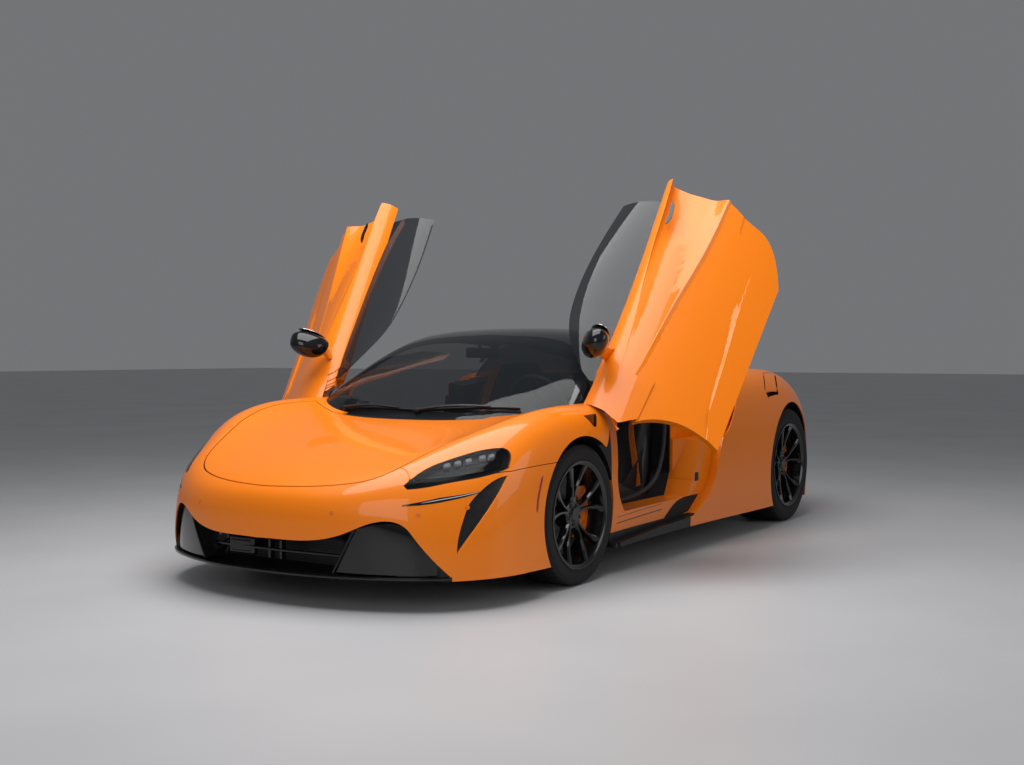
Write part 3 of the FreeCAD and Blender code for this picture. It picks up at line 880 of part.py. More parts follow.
# Wheels: front and rear differ in width and diameter. x runs outwards from the tyre's middle.
for end in ("front", "rear"):
    half_tread = size(end + "_tyre_width") / 2
    radius = size(end + "_tyre_diameter") / 2
    bead = size(end + "_rim_diameter") / 2
    centre = Vector(size(end + "_track") / 2, axle[end], radius)
    waist = bead + (radius - bead) / 2
    shoulder_reach = half_tread * 0.86
    bead_reach = half_tread * 0.92
    tyre = turned([(-bead_reach, bead), (-half_tread, waist), (-shoulder_reach, radius),
                   (shoulder_reach, radius), (half_tread, waist), (bead_reach, bead)], centre)
    rim_seat = bead - size("tyre_seat") / 2
    rim_inner = rim_seat - size("rim_thickness")
    lip = bead + size("tyre_seat") * 8
    barrel = turned([(-half_tread, rim_inner), (-half_tread, lip), (-half_tread * 0.96, lip),
                     (-half_tread * 0.95, rim_seat), (half_tread * 0.95, rim_seat),
                     (half_tread * 0.96, lip), (half_tread, lip), (half_tread, rim_inner)], centre)
    disc_face = size("disc_reach") - centre.x + size("disc_thickness") / 2
    face_inner = disc_face + 2 * running
    hub = turned([(face_inner, 0), (face_inner, size("hub_radius")),
                  (half_tread * 0.72, size("hub_radius") * 0.9), (half_tread * 0.76, 0)], centre)
    spokes = []
    for number in range(int(size("spoke_count"))):
        spoke = box((half_tread * 0.9 - size("spoke_depth"), -size("spoke_width") / 2, size("hub_radius") / 2),
                    (half_tread * 0.9, size("spoke_width") / 2, rim_seat - seat))
        spoke.rotate(Vector(0, 0, 0), ALONG["y"], size("spoke_dish"))
        spoke = spoke.common(turned([(-half_tread, 0), (-half_tread, rim_seat - seat),
                                     (half_tread * 0.97, rim_seat - seat), (half_tread * 0.97, 0)],
                                    Vector(0, 0, 0)))
        spoke.rotate(Vector(0, 0, 0), ALONG["x"], 360 * number / size("spoke_count"))
        spoke.translate(centre)
        spokes.append(spoke)
    bore_depth = size("spindle_depth")
    bore = turned([(face_inner - overrun, 0), (face_inner - overrun, size("spindle_radius") + size("running_fit")),
                   (face_inner + bore_depth + seat, size("spindle_radius") + size("running_fit")),
                   (face_inner + bore_depth + seat, 0)], centre)
    rim = fused([barrel, hub] + spokes).cut(bore)
    disc_half = size("disc_thickness") / 2
    disc_centre = Vector(size("disc_reach"), axle[end], radius)
    disc = turned([(-disc_half, size("hub_radius") * 1.4), (-disc_half, size("disc_diameter") / 2),
                   (disc_half, size("disc_diameter") / 2), (disc_half, size("hub_radius") * 1.2),
                   (disc_half + 2 * running, size("hub_radius") * 0.95),
                   (disc_half + 2 * running, size("spindle_radius") + size("running_fit")),
                   (disc_half + running, size("spindle_radius") + size("running_fit")),
                   (disc_half - running, size("hub_radius") * 1.0)], disc_centre)
    for side, name in ((1, "left"), (-1, "right")):
        keep("tyre_%s_%s" % (end, name), tyre if side == 1 else mirrored(tyre))
        keep("rim_%s_%s" % (end, name), rim if side == 1 else mirrored(rim))
        keep("disc_%s_%s" % (end, name), disc if side == 1 else mirrored(disc))

    # The upright carries the spindle that the wheel turns on, and the brake caliper.
    pin = Vector(size("steer_axis_reach"), axle[end], radius)
    spindle_end = centre.x + face_inner + bore_depth
    spindle = rod(pin, Vector(spindle_end, pin.y, pin.z), size("spindle_radius"))
    half_upright = size("upright_width") / 2
    upright_outer = size("disc_reach") - disc_half - running
    body = box((pin.x - half_upright, pin.y - half_upright, pin.z - size("ball_height") + 2 * size("ball_radius")),
               (upright_outer - running, pin.y + half_upright, pin.z + size("ball_height") - 2 * size("ball_radius")))
    caliper_radius = size("disc_diameter") / 2
    caliper = turned([(-size("caliper_width") / 2, caliper_radius - size("caliper_depth")),
                      (-size("caliper_width") / 2, caliper_radius + running + skin),
                      (size("caliper_width") / 2, caliper_radius + running + skin),
                      (size("caliper_width") / 2, caliper_radius - size("caliper_depth"))], disc_centre)
    sector = box((-left_reach, pin.y + size("disc_diameter") * 0.14, pin.z - size("caliper_length") / 2),
                 (left_reach, pin.y + size("disc_diameter"), pin.z + size("caliper_length") / 2))
    caliper = caliper.common(sector)
    slot = turned([(-disc_half - running, 0), (-disc_half - running, caliper_radius + running),
                   (disc_half + running, caliper_radius + running), (disc_half + running, 0)], disc_centre)
    caliper = caliper.cut(slot)
    bracket = box((upright_outer - 3 * running, pin.y, pin.z - half_upright),
                  (upright_outer, pin.y + size("disc_diameter") * 0.36, pin.z + half_upright))
    upright = fused([spindle, body, caliper, bracket])
    arms = []
    for rise in (-1, 1):
        ball = Vector(pin.x, pin.y, pin.z + rise * size("ball_height"))
        upright = upright.cut(Part.makeSphere(size("ball_radius") + seat, ball))
        arms.append(Part.makeSphere(size("ball_radius"), ball))
        for spread in (-1, 1):
            root = Vector(wall[end] + seat + size("arm_radius"), pin.y + spread * size("arm_spread"),
                          ball.z - rise * size("arm_drop"))
            arms.append(rod(root, ball, size("arm_radius")))
            arms.append(rod(Vector(root.x, root.y - 2 * size("arm_radius"), root.z),
                            Vector(root.x, root.y + 2 * size("arm_radius"), root.z),
                            size("arm_radius")))
    lug_rise = size("ball_height") - size("ball_radius") * size("socket_share")
    lug = rod(Vector(pin.x, pin.y, pin.z - lug_rise), Vector(pin.x, pin.y, pin.z + lug_rise),
              size("ball_radius") + skin)
    upright = fused([upright, lug])
    for rise in (-1, 1):
        ball = Vector(pin.x, pin.y, pin.z + rise * size("ball_height"))
        upright = upright.cut(Part.makeSphere(size("ball_radius") + seat, ball))
    upright = largest(upright)
    arm_group = [fused(arms[:5]), fused(arms[5:])]
    if end == "front":
        keep("knuckle_left", upright)
        keep("knuckle_right", mirrored(upright))
        keep("suspension_front", both_sides(Part.makeCompound(arm_group)))
    else:
        keep("suspension_rear", both_sides(Part.makeCompound(arm_group + [upright])))

# Mirrors on stalks from the front of the doors.
mirror_centre = place(MIRROR_SHARE)
half_mirror = Vector(size("mirror_width") / 2, size("mirror_depth") / 2, size("mirror_height") / 2)
shell = box(mirror_centre - half_mirror, mirror_centre + half_mirror)
shell = shell.makeFillet(size("mirror_height") * 0.4, shell.Edges)
stalk = rod(place(STALK_SHARE), mirror_centre, size("mirror_stalk_radius"))
mirror = largest(fused([shell, stalk]).cut(body_seat_form))
keep("mirror_left", mirror, opened(1))
keep("mirror_right", mirrored(mirror), opened(-1))

# Cabin: two seats, dashboard and steering wheel.
seat_front = front_axle + size("seat_front_behind_axle")


def lying(profile, start, end):
    """A block across the car from (y, z) points."""
    points = [Vector(start, along, up) for along, up in profile]
    return Part.Face(Part.makePolygon(points + points[:1])).extrude(Vector(end - start, 0, 0))


lean = math.tan(math.radians(size("seat_lean")))
back_run = (size("seat_back_height") - size("seat_cushion_top")) * lean
seat_rear = seat_front + size("seat_length")
seat_shape = lying([
    (seat_front, size("seat_height")), (seat_front, size("seat_cushion_top")),
    (seat_rear, size("seat_cushion_top") - 2 * overrun),
    (seat_rear + back_run, size("seat_back_height")),
    (seat_rear + back_run + size("seat_back_thickness") / 2, size("seat_back_height")),
    (seat_rear + size("seat_back_thickness"), size("seat_height"))],
    size("seat_reach") - size("seat_width") / 2, size("seat_reach") + size("seat_width") / 2)
seat_shape = seat_shape.makeFillet(overrun, [edge for edge in seat_shape.Edges])
keep("seats", both_sides(seat_shape))

dash_front = front_axle + size("dash_front_behind_axle")
dash = lying([
    (dash_front, size("dash_bottom")), (dash_front, size("dash_top")),
    (dash_front + size("dash_depth") * 0.8, size("dash_top") - overrun),
    (dash_front + size("dash_depth"), size("dash_top") - 4 * overrun),
    (dash_front + size("dash_depth") * 0.6, size("dash_bottom"))],
    -cabin_half + seat, cabin_half - seat)
console = box((-size("console_half_width"), dash_front, size("cabin_floor")),
              (size("console_half_width"), seat_rear - overrun, size("seat_cushion_top") + 2 * overrun))
dash = fused([dash, console])
keep("dashboard", dash)

grip = size("steering_wheel_grip")
ring_radius = size("steering_wheel_diameter") / 2 - grip
steering = fused([Part.makeTorus(ring_radius, grip),
                  Part.makeCylinder(4 * grip, 2 * grip, Vector(0, 0, -grip)),
                  box((-ring_radius, -1.2 * grip, -grip / 2), (ring_radius, 1.2 * grip, grip / 2)),
                  box((-1.2 * grip, -ring_radius, -grip / 2), (1.2 * grip, 0, grip / 2)),
                  Part.makeCylinder(2 * grip, size("column_length"), Vector(0, 0, -size("column_length")))])
steering.rotate(Vector(0, 0, 0), ALONG["x"], -size("steering_wheel_lean"))
steering.translate(Vector(size("steering_wheel_reach"), front_axle + size("steering_wheel_behind_axle"),
                          size("steering_wheel_height")))
keep("steering_wheel", largest(steering.cut(dash)))

# Engine as one plain block, and the exhaust with its high tailpipes.
engine_front = tub_rear + size("engine_behind_cabin")
engine = box((-size("engine_width") / 2, engine_front, size("engine_bay_floor") + seat / 2),
             (size("engine_width") / 2, engine_front + size("engine_length"),
              size("engine_bay_floor") + size("engine_height")))
keep("engine", engine)
muffler_rear = half_length - size("mesh_depth") - 2 * overrun
muffler = box((-size("muffler_width") / 2, muffler_rear - size("muffler_length"),
               size("tailpipe_height") - size("muffler_height") / 2),
              (size("muffler_width") / 2, muffler_rear, size("tailpipe_height") + size("muffler_height") / 2))
tails = []
for side in (-1, 1):
    start = Vector(side * size("tailpipe_reach"), muffler_rear - overrun, size("tailpipe_height"))
    tip = Vector(side * size("tailpipe_reach"), half_length - overrun, size("tailpipe_height"))
    tails.append(rod(start, tip, size("tailpipe_radius")).cut(
        rod(start + Vector(0, 2 * overrun, 0), tip + Vector(0, overrun, 0), size("tailpipe_radius") - 3)))
hangers = box((seat - bay_half, muffler_rear - size("muffler_length") / 2 - overrun, size("tailpipe_height") - skin),
              (bay_half - seat, muffler_rear - size("muffler_length") / 2 + overrun, size("tailpipe_height") + skin))
exhaust = fused([muffler, hangers] + tails)
keep("exhaust", exhaust)

# Every object is checked before the files are written.
document.recompute()
for feature in document.Objects:
    if "Invalid" in feature.State or "Error" in feature.State:
        raise RuntimeError("object not valid: " + feature.Label)
os.makedirs("parts", exist_ok=True)
for label, feature in parts.items():
    if feature.Shape.isNull() or not feature.Shape.isValid():
        raise RuntimeError("shape not valid: " + label)
for label, feature in parts.items():
    feature.Shape.exportStep("parts/" + label + ".step")
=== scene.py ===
"""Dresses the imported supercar: smooth painted panels, glass, wheels, cabin and a pale studio."""

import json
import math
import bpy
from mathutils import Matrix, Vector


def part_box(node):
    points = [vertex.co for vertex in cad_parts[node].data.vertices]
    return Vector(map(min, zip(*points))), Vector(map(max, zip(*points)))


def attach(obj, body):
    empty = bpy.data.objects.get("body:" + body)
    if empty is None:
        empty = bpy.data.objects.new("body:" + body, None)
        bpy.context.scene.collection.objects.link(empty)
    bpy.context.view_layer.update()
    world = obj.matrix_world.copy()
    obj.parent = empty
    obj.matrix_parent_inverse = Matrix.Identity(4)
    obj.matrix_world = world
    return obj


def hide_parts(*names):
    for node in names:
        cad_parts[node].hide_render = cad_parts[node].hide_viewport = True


bl_info = {
    "name": "Raised-door supercar",
    "version": (1, 0, 0),
    "blender": (4, 5, 0),
    "location": "3D View > Sidebar > Supercar",
    "description": "Builds the looks of a low two-seat car with its doors raised, around its packed solids",
    "category": "Object",
}

import bpy
import numpy as np
from mathutils import Vector

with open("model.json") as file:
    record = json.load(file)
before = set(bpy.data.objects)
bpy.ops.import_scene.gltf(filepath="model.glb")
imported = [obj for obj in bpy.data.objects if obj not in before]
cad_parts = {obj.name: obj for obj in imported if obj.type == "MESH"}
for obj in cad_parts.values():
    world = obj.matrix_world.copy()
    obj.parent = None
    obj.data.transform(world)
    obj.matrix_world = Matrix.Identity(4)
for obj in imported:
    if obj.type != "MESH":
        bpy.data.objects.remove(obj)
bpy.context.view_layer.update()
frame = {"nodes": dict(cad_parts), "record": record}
NODES = frame["nodes"]

HALF_WIDTH = 0.988
LENGTH = 4.539
ROOF_HEIGHT = 1.193
HINGE_POINT = np.array([0.787, -0.8435, 0.804])
HINGE_AXIS = np.array([0.634, -0.620, -0.462])
OPEN_ANGLE = math.radians(74.8)
NEAR_SURFACE = 0.06  # a panel's corner this near its spline surface may take the surface's normal
LEAST_ALIKE = 0.955  # cosine between the two normals from which it does
SHEET = 0.003  # thickness of a thin sheet
SKIN = 0.0012  # how far a flat strip or patch stands over the paint
CAMERA_PLACE = (3.760, -6.1135)
CAMERA_DOWN, CAMERA_TURN = 1.344, 32.76  # degrees
FLOOR_REACH = 60.0

# Control points of the two spline surfaces: shares of half width, length and height in ten-thousandths
BODY_NET = [
    [(0, 37, 1090), (2630, 70, 1090), (4760, 195, 1090), (6330, 345, 1090), (7210, 455, 1090),
     (8280, 676, 1090), (9090, 936, 1090), (9490, 1190, 1090), (9570, 1300, 1090), (9620, 1377, 1090)],
    [(0, -18, 2770), (2650, 19, 2770), (4780, 147, 2810), (6360, 319, 2600), (7230, 433, 2600),
     (8280, 658, 2600), (9090, 932, 2640), (9510, 1190, 2680), (9570, 1344, 2350), (9620, 1465, 1090)],
    [(0, -25, 3690), (2670, 24, 3720), (4760, 156, 3810), (6280, 345, 4010), (7090, 488, 4110),
     (8050, 720, 4230), (8910, 980, 4400), (9430, 1234, 4440), (9640, 1421, 2850), (9690, 1553, 1090)],
    [(0, 66, 4190), (2730, 148, 4210), (4510, 297, 4380), (5970, 507, 4780), (6880, 672, 4860),
     (7910, 925, 4950), (8930, 1190, 5030), (9570, 1399, 4820), (9740, 1575, 2980), (9740, 1685, 1090)],
    [(0, 297, 4610), (2790, 359, 4610), (4550, 485, 4740), (6070, 727, 5180), (6880, 881, 5360),
     (7950, 1135, 5530), (9040, 1377, 5570), (9690, 1564, 5110), (9800, 1751, 3060), (9770, 1840, 1090)],
    [(0, 716, 5160), (2860, 749, 5140), (4810, 837, 5230), (6400, 1024, 5620), (7150, 1168, 5880),
     (8120, 1377, 6100), (9140, 1575, 6020), (9780, 1774, 5300), (9850, 1950, 3140), (9780, 2016, 1090)],
    [(0, 1245, 5600), (2940, 1262, 5580), (5160, 1311, 5670), (6800, 1432, 5970), (7470, 1531, 6300),
     (8320, 1696, 6570), (9260, 1884, 6340), (9840, 2038, 5410), (9880, 2170, 3200), (9780, 2214, 1090)],
    [(0, 1862, 5990), (2990, 1873, 5980), (5470, 1895, 6070), (7170, 1950, 6370), (7770, 2016, 6660),
     (8500, 2126, 6860), (9350, 2258, 6550), (9860, 2368, 5490), (9900, 2456, 3250), (9780, 2479, 1090)],
    [(0, 2456, 6290), (3040, 2456, 6290), (5670, 2456, 6370), (7440, 2468, 6660), (7980, 2501, 6860),
     (8620, 2567, 6910), (9390, 2644, 6580), (9850, 2710, 5530), (9880, 2743, 3270), (9750, 2765, 1090)],
    [(0, 3117, 6500), (3040, 3117, 6500), (5750, 3117, 6580), (7540, 3117, 6770), (8060, 3128, 6890),
     (8680, 3150, 6860), (9360, 3173, 6500), (9760, 3195, 5490), (9760, 3206, 3270), (9640, 3206, 1090)],
    [(0, 3999, 6710), (3040, 3999, 6710), (5750, 3999, 6750), (7570, 3999, 6890), (8120, 3999, 6970),
     (8740, 3999, 6890), (9290, 3999, 6450), (9620, 3999, 5470), (9600, 3999, 3270), (9450, 3999, 1090)],
    [(0, 4990, 6960), (3040, 4990, 6960), (5750, 4990, 7020), (7610, 4990, 7190), (8160, 4990, 7280),
     (8790, 4990, 7140), (9290, 4990, 6590), (9600, 4990, 5490), (9560, 4990, 3290), (9410, 4990, 1090)],
    [(0, 5981, 7210), (3040, 5981, 7230), (5720, 5981, 7390), (7610, 5981, 7670), (8180, 5981, 7780),
     (8830, 5981, 7610), (9380, 5981, 6920), (9720, 5981, 5630), (9700, 5981, 3340), (9520, 5981, 1090)],
    [(0, 6863, 7420), (3040, 6863, 7460), (5670, 6863, 7640), (7540, 6863, 7920), (8120, 6863, 8060),
     (8790, 6863, 7920), (9510, 6863, 7230), (9930, 6863, 5850), (9930, 6863, 3390), (9740, 6863, 1090)],
    [(0, 7634, 7540), (3040, 7634, 7590), (5570, 7634, 7730), (7410, 7634, 8010), (8020, 7634, 8150),
     (8740, 7634, 8030), (9570, 7634, 7380), (10020, 7634, 5970), (10040, 7634, 3450), (9840, 7634, 1090)],
    [(0, 8361, 7590), (3040, 8361, 7610), (5470, 8361, 7730), (7240, 8361, 7920), (7840, 8361, 8030),
     (8580, 8361, 7880), (9470, 8361, 7230), (10000, 8361, 5910), (10040, 8361, 3450), (9860, 8361, 1090)],
    [(0, 9022, 7540), (3040, 9022, 7560), (5310, 9022, 7610), (6980, 9011, 7670), (7570, 8995, 7640),
     (8280, 8967, 7390), (9140, 8923, 6710), (9710, 8879, 5600), (9820, 8857, 3370), (9650, 8846, 1090)],
    [(0, 9551, 7460), (2990, 9540, 7460), (5160, 9506, 7430), (6630, 9451, 7310), (7190, 9418, 7170),
     (7840, 9363, 6810), (8620, 9286, 6120), (9200, 9209, 5200), (9410, 9176, 3270), (9280, 9165, 1090)],
    [(0, 9902, 7380), (2940, 9886, 7340), (5060, 9836, 7230), (6360, 9763, 7000), (6880, 9714, 6770),
     (7470, 9648, 6370), (8120, 9549, 5700), (8650, 9451, 4860), (8910, 9396, 3190), (8830, 9385, 1090)],
    [(0, 10019, 6540), (2940, 10001, 6500), (5040, 9946, 6410), (6280, 9869, 6220), (6780, 9820, 6040),
     (7340, 9748, 5700), (7950, 9644, 5160), (8420, 9529, 4440), (8680, 9451, 3020), (8660, 9432, 1090)],
    [(0, 10012, 3770), (2910, 9996, 3770), (4980, 9939, 3730), (6190, 9860, 3690), (6680, 9811, 3600),
     (7210, 9737, 3440), (7770, 9640, 3190), (8240, 9546, 2850), (8500, 9489, 2100), (8480, 9471, 1090)],
    [(0, 9913, 1090), (2880, 9895, 1090), (4880, 9842, 1090), (6030, 9770, 1090), (6520, 9725, 1090),
     (7020, 9679, 1090), (7570, 9609, 1090), (7960, 9546, 1090), (8140, 9520, 1090), (8280, 9500, 1090)],
]
GLASSHOUSE_NET = [
    [(0, 2214, 5870), (2830, 2243, 5870), (5310, 2329, 5870), (7340, 2468, 5870), (8400, 2633, 5870),
     (8550, 2853, 5870)],
    [(0, 2732, 7280), (2860, 2765, 7260), (5360, 2871, 7230), (7310, 3007, 7280), (8420, 3106, 7080),
     (8600, 3294, 5870)],
    [(0, 3338, 8800), (2730, 3366, 8770), (5060, 3466, 8680), (6880, 3584, 8770), (8080, 3690, 7950),
     (8560, 3866, 5870)],
    [(0, 3955, 9960), (2580, 3972, 9920), (4810, 4043, 9820), (6480, 4157, 9560), (7770, 4289, 8100),
     (8530, 4523, 5870)],
    [(0, 4660, 10110), (2530, 4666, 10080), (4600, 4693, 9970), (6270, 4774, 9610), (7630, 4906, 8210),
     (8520, 5111, 5870)],
    [(0, 5497, 9970), (2480, 5497, 9960), (4450, 5508, 9830), (6070, 5550, 9400), (7440, 5627, 8200),
     (8460, 5761, 5870)],
    [(0, 6334, 9620), (2430, 6334, 9610), (4300, 6334, 9470), (5720, 6356, 9050), (7030, 6400, 8010),
     (8220, 6510, 5870)],
    [(0, 7171, 9040), (2330, 7171, 9020), (4130, 7171, 8870), (5410, 7171, 8530), (6580, 7171, 7710),
     (7790, 7193, 5870)],
    [(0, 7920, 8300), (2280, 7920, 8280), (4000, 7920, 8170), (5160, 7920, 7960), (6220, 7920, 7380),
     (7340, 7920, 5870)],
    [(0, 8537, 7710), (2230, 8537, 7690), (3900, 8537, 7630), (4960, 8515, 7460), (5920, 8493, 7040),
     (6880, 8471, 5870)],
    [(0, 8890, 5870), (2230, 8890, 5870), (3850, 8868, 5870), (4860, 8846, 5870), (5770, 8824, 5870),
     (6580, 8801, 5870)],
]


# Geometry

def spline_weights(count, t):
    """Weights of a clamped uniform cubic spline's control points at parameters t (Cox-de Boor)."""
    knots = np.concatenate([np.zeros(3), np.linspace(0, 1, count - 2), np.ones(3)])
    t = np.clip(t, 0, 1 - 1e-12)[:, None]
    weights = ((t >= knots[:-1]) & (t < knots[1:])).astype(float)
    for degree in (1, 2, 3):
        spans = len(knots) - degree - 1
        low, high = knots[:spans], knots[degree:degree + spans]
        rise = np.where(high > low, (t - low) / np.where(high > low, high - low, 1), 0)
        low, high = knots[1:1 + spans], knots[degree + 1:degree + 1 + spans]
        fall = np.where(high > low, (high - t) / np.where(high > low, high - low, 1), 0)
        weights = rise * weights[:, :spans] + fall * weights[:, 1:spans + 1]
    return weights


def mirrored_net(ten_thousandths):
    """Control points in metres, mirrored across the centre line: station by row by (x, y, z)."""
    net = np.array(ten_thousandths) / 10000
    net = np.stack([net[..., 0] * HALF_WIDTH, net[..., 1] * LENGTH - LENGTH / 2,
                    net[..., 2] * ROOF_HEIGHT], axis=-1)
    return np.concatenate([net[:, :0:-1] * (-1, 1, 1), net], axis=1)


NETS = {"body": mirrored_net(BODY_NET), "glasshouse": mirrored_net(GLASSHOUSE_NET)}


def surface_points(net, s, r):
    """Points of the spline surface at paired parameters: the weighted mean of its control points."""
    return np.einsum("ni,ijk,nj->nk", spline_weights(net.shape[0], s), net, spline_weights(net.shape[1], r))


def on_surface(name, points):
    """Nearest points of a spline surface to the given ones, with its outward normals there.

    A coarse grid gives the start, then Gauss-Newton steps move (s, r) towards the foot point.
    """
    net = NETS[name]
    s_grid, r_grid = np.meshgrid(np.linspace(0, 1, 90), np.linspace(0, 1, 90), indexing="ij")
    s_grid, r_grid = s_grid.ravel(), r_grid.ravel()
    coarse = surface_points(net, s_grid, r_grid)
    nearest = np.concatenate([np.argmin(((chunk[:, None] - coarse) ** 2).sum(-1), axis=1)
                              for chunk in np.array_split(points, max(1, len(points) // 800))])
    s, r = s_grid[nearest], r_grid[nearest]
    step = 1e-4
    for _ in range(6):
        s, r = np.clip(s, step, 1 - step), np.clip(r, step, 1 - step)
        foot = surface_points(net, s, r)
        along = (surface_points(net, s + step, r) - surface_points(net, s - step, r)) / (2 * step)
        across = (surface_points(net, s, r + step) - surface_points(net, s, r - step)) / (2 * step)
        miss = points - foot
        a, b, c = (along ** 2).sum(1), (along * across).sum(1), (across ** 2).sum(1)
        e, f = (along * miss).sum(1), (across * miss).sum(1)
        det = np.maximum(a * c - b * b, 1e-12)
        s = s + np.clip((c * e - b * f) / det, -0.05, 0.05)
        r = r + np.clip((a * f - b * e) / det, -0.05, 0.05)
    normals = unit(np.cross(across, along))
    core = np.array([0, 0, 0.4]) * np.ones_like(foot)
    core[:, 1] = foot[:, 1] * 0.9
    normals *= np.where(((foot - core) * normals).sum(1) < 0, -1, 1)[:, None]
    return foot, normals


def unit(vectors):
    """Vectors scaled to length one."""
    return vectors / np.maximum(np.linalg.norm(vectors, axis=-1, keepdims=True), 1e-12)


def turned(points, axis, angle, centre):
    """Points turned about an axis through a centre (Rodrigues' formula)."""
    axis = axis / np.linalg.norm(axis)
    rel = points - centre
    return (rel * math.cos(angle) + np.cross(axis, rel) * math.sin(angle)
            + axis * (rel @ axis)[:, None] * (1 - math.cos(angle)) + centre)


def closed_pose(points, side, back=False):
    """Points of a raised door turned to its closed place, or back; side is 1 left, -1 right, 0 none."""
    if not side:
        return points
    mirror = np.array([side, 1, 1])
    angle = OPEN_ANGLE if back else -OPEN_ANGLE
    return turned(points * mirror, HINGE_AXIS, angle, HINGE_POINT) * mirror


def on_door(points, side):
    """Points given on the closed left door, moved to the raised door of a side (1 left, -1 right)."""
    return closed_pose((points * (side, 1, 1)).reshape(-1, 3), side, back=True).reshape(points.shape)


def read_rows(items, key, kind=float):
    """A three-part property of every item, as the rows of an array."""
    values = np.empty(len(items) * 3, kind)
    items.foreach_get(key, values)
    return values.reshape(-1, 3)


def merged(points, faces):
    """Points with the coinciding ones made one, and the faces that keep three different corners."""
    _, first, place = np.unique(np.round(points, 6), axis=0, return_index=True, return_inverse=True)
    faces = place.ravel()[faces]
    good = (faces[:, 0] != faces[:, 1]) & (faces[:, 1] != faces[:, 2]) & (faces[:, 2] != faces[:, 0])
    return points[first], faces[good]


def triangles(node):
    """A CAD node's vertices, merged where they coincide, and its triangles."""
    mesh = NODES[node].data
    mesh.calc_loop_triangles()
    return merged(read_rows(mesh.vertices, "co"), read_rows(mesh.loop_triangles, "vertices", int))


def new_mesh(name, points, faces, normals=None, smooth=False):
    """A mesh object from arrays of points and faces, with optional corner normals."""
    mesh = bpy.data.meshes.new(name)
    mesh.from_pydata(points.tolist(), [], faces.tolist())
    mesh.update()
    if smooth or normals is not None:
        mesh.polygons.foreach_set("use_smooth", np.ones(len(mesh.polygons), bool))
    if normals is not None:
        mesh.normals_split_custom_set(normals)
    piece = bpy.data.objects.new(name, mesh)
    bpy.context.scene.collection.objects.link(piece)
    return piece


def face_normals(points, faces):
    """Area-weighted and unit normals of triangles."""
    big = np.cross(points[faces[:, 1]] - points[faces[:, 0]], points[faces[:, 2]] - points[faces[:, 0]])
    return big, unit(big)


def creased_normals(points, faces, limit=32):
    """Corner normals averaged over the faces at each vertex that meet within an angle in degrees.

    Corners are sorted by vertex, and each is compared with the ones k places on at the same vertex.
    """
    big, flat = face_normals(points, faces)
    vertex = faces.ravel()
    order = np.argsort(vertex, kind="stable")
    owner, face = vertex[order], order // 3
    total = big[face].copy()
    for k in range(1, min(int(np.bincount(vertex).max()), 60)):
        same = (owner[k:] == owner[:-k]) & ((flat[face[k:]] * flat[face[:-k]]).sum(1)
                                            > math.cos(math.radians(limit)))
        total[:-k][same] += big[face[k:]][same]
        total[k:][same] += big[face[:-k]][same]
    corner = np.empty_like(total)
    corner[order] = total
    return unit(corner).reshape(-1, 3, 3)


def smooth_panel(node, surfaces, side, cuts=()):
    """A copy of a CAD panel whose curved faces take the spline surface's own normals.

    A corner takes the surface normal where its face is nearly parallel to the surface and near it, and
    elsewhere the mean of its neighbours within the crease angle.
    """
    points, faces = triangles(node)
    for axis, value in cuts:
        points, faces = split_at(points, faces, axis, value)
    flat = face_normals(points, faces)[1]
    corner = creased_normals(points, faces)
    best = np.full((len(faces), 3), LEAST_ALIKE)
    closed = closed_pose(points, side)
    for name in surfaces:
        foot, normals = on_surface(name, closed)
        distance = np.linalg.norm(closed - foot, axis=1)
        if side:
            normals = closed_pose(closed + normals, side, back=True) - points
        at = normals[faces]
        near = distance[faces] < NEAR_SURFACE
        dot = (at * flat[:, None]).sum(-1)
        use = near & (np.abs(dot) > best)
        corner = np.where(use[..., None], at * np.sign(dot)[..., None], corner)
        best = np.where(use, np.abs(dot), best)
    return new_mesh("panel_" + node, points, faces, corner.reshape(-1, 3))


def soft_copy(node):
    """A copy of a CAD node shaded smooth up to the crease angle."""
    points, faces = triangles(node)
    return new_mesh("soft_" + node, points, faces, creased_normals(points, faces).reshape(-1, 3))


def split_at(points, faces, axis, value):
    """Triangles cut where they cross the plane of an axis at a value: one triangle becomes three.

    The corner alone on its side is turned to the front, and its two edges meet the plane at shares.
    """
    side = points[faces][..., axis] > value
    count = side.sum(1)
    lone = np.where(count == 1, np.argmax(side, 1), np.argmin(side, 1))
    crossing = (count == 1) | (count == 2)
    turned_faces = faces[crossing][np.arange(crossing.sum())[:, None],
                                   (lone[crossing][:, None] + np.arange(3)) % 3]
    a, b, c = (points[turned_faces[:, k]] for k in range(3))
    cut = []
    for far in (b, c):
        run = far[:, axis] - a[:, axis]
        share = (value - a[:, axis]) / np.where(run == 0, 1, run)
        cut.append(a + share[:, None] * (far - a))
    first = len(points) + np.arange(len(a))
    second = first + len(a)
    one, two, three = turned_faces.T
    new = [np.stack(corners, 1) for corners in ((one, first, second), (first, two, three),
                                                (first, three, second))]
    return merged(np.concatenate([points, *cut]), np.concatenate([faces[~crossing], *new]))


def face_data(piece):
    """Centres and normals of a piece's faces."""
    return read_rows(piece.data.polygons, "center"), read_rows(piece.data.polygons, "normal")


def second_finish(piece, material, chosen):
    """Gives the chosen faces of a piece another material."""
    piece.data.materials.append(MATERIALS[material])
    index = np.zeros(len(piece.data.polygons), np.int32)
    piece.data.polygons.foreach_get("material_index", index)
    index[chosen] = len(piece.data.materials) - 1
    piece.data.polygons.foreach_set("material_index", index)


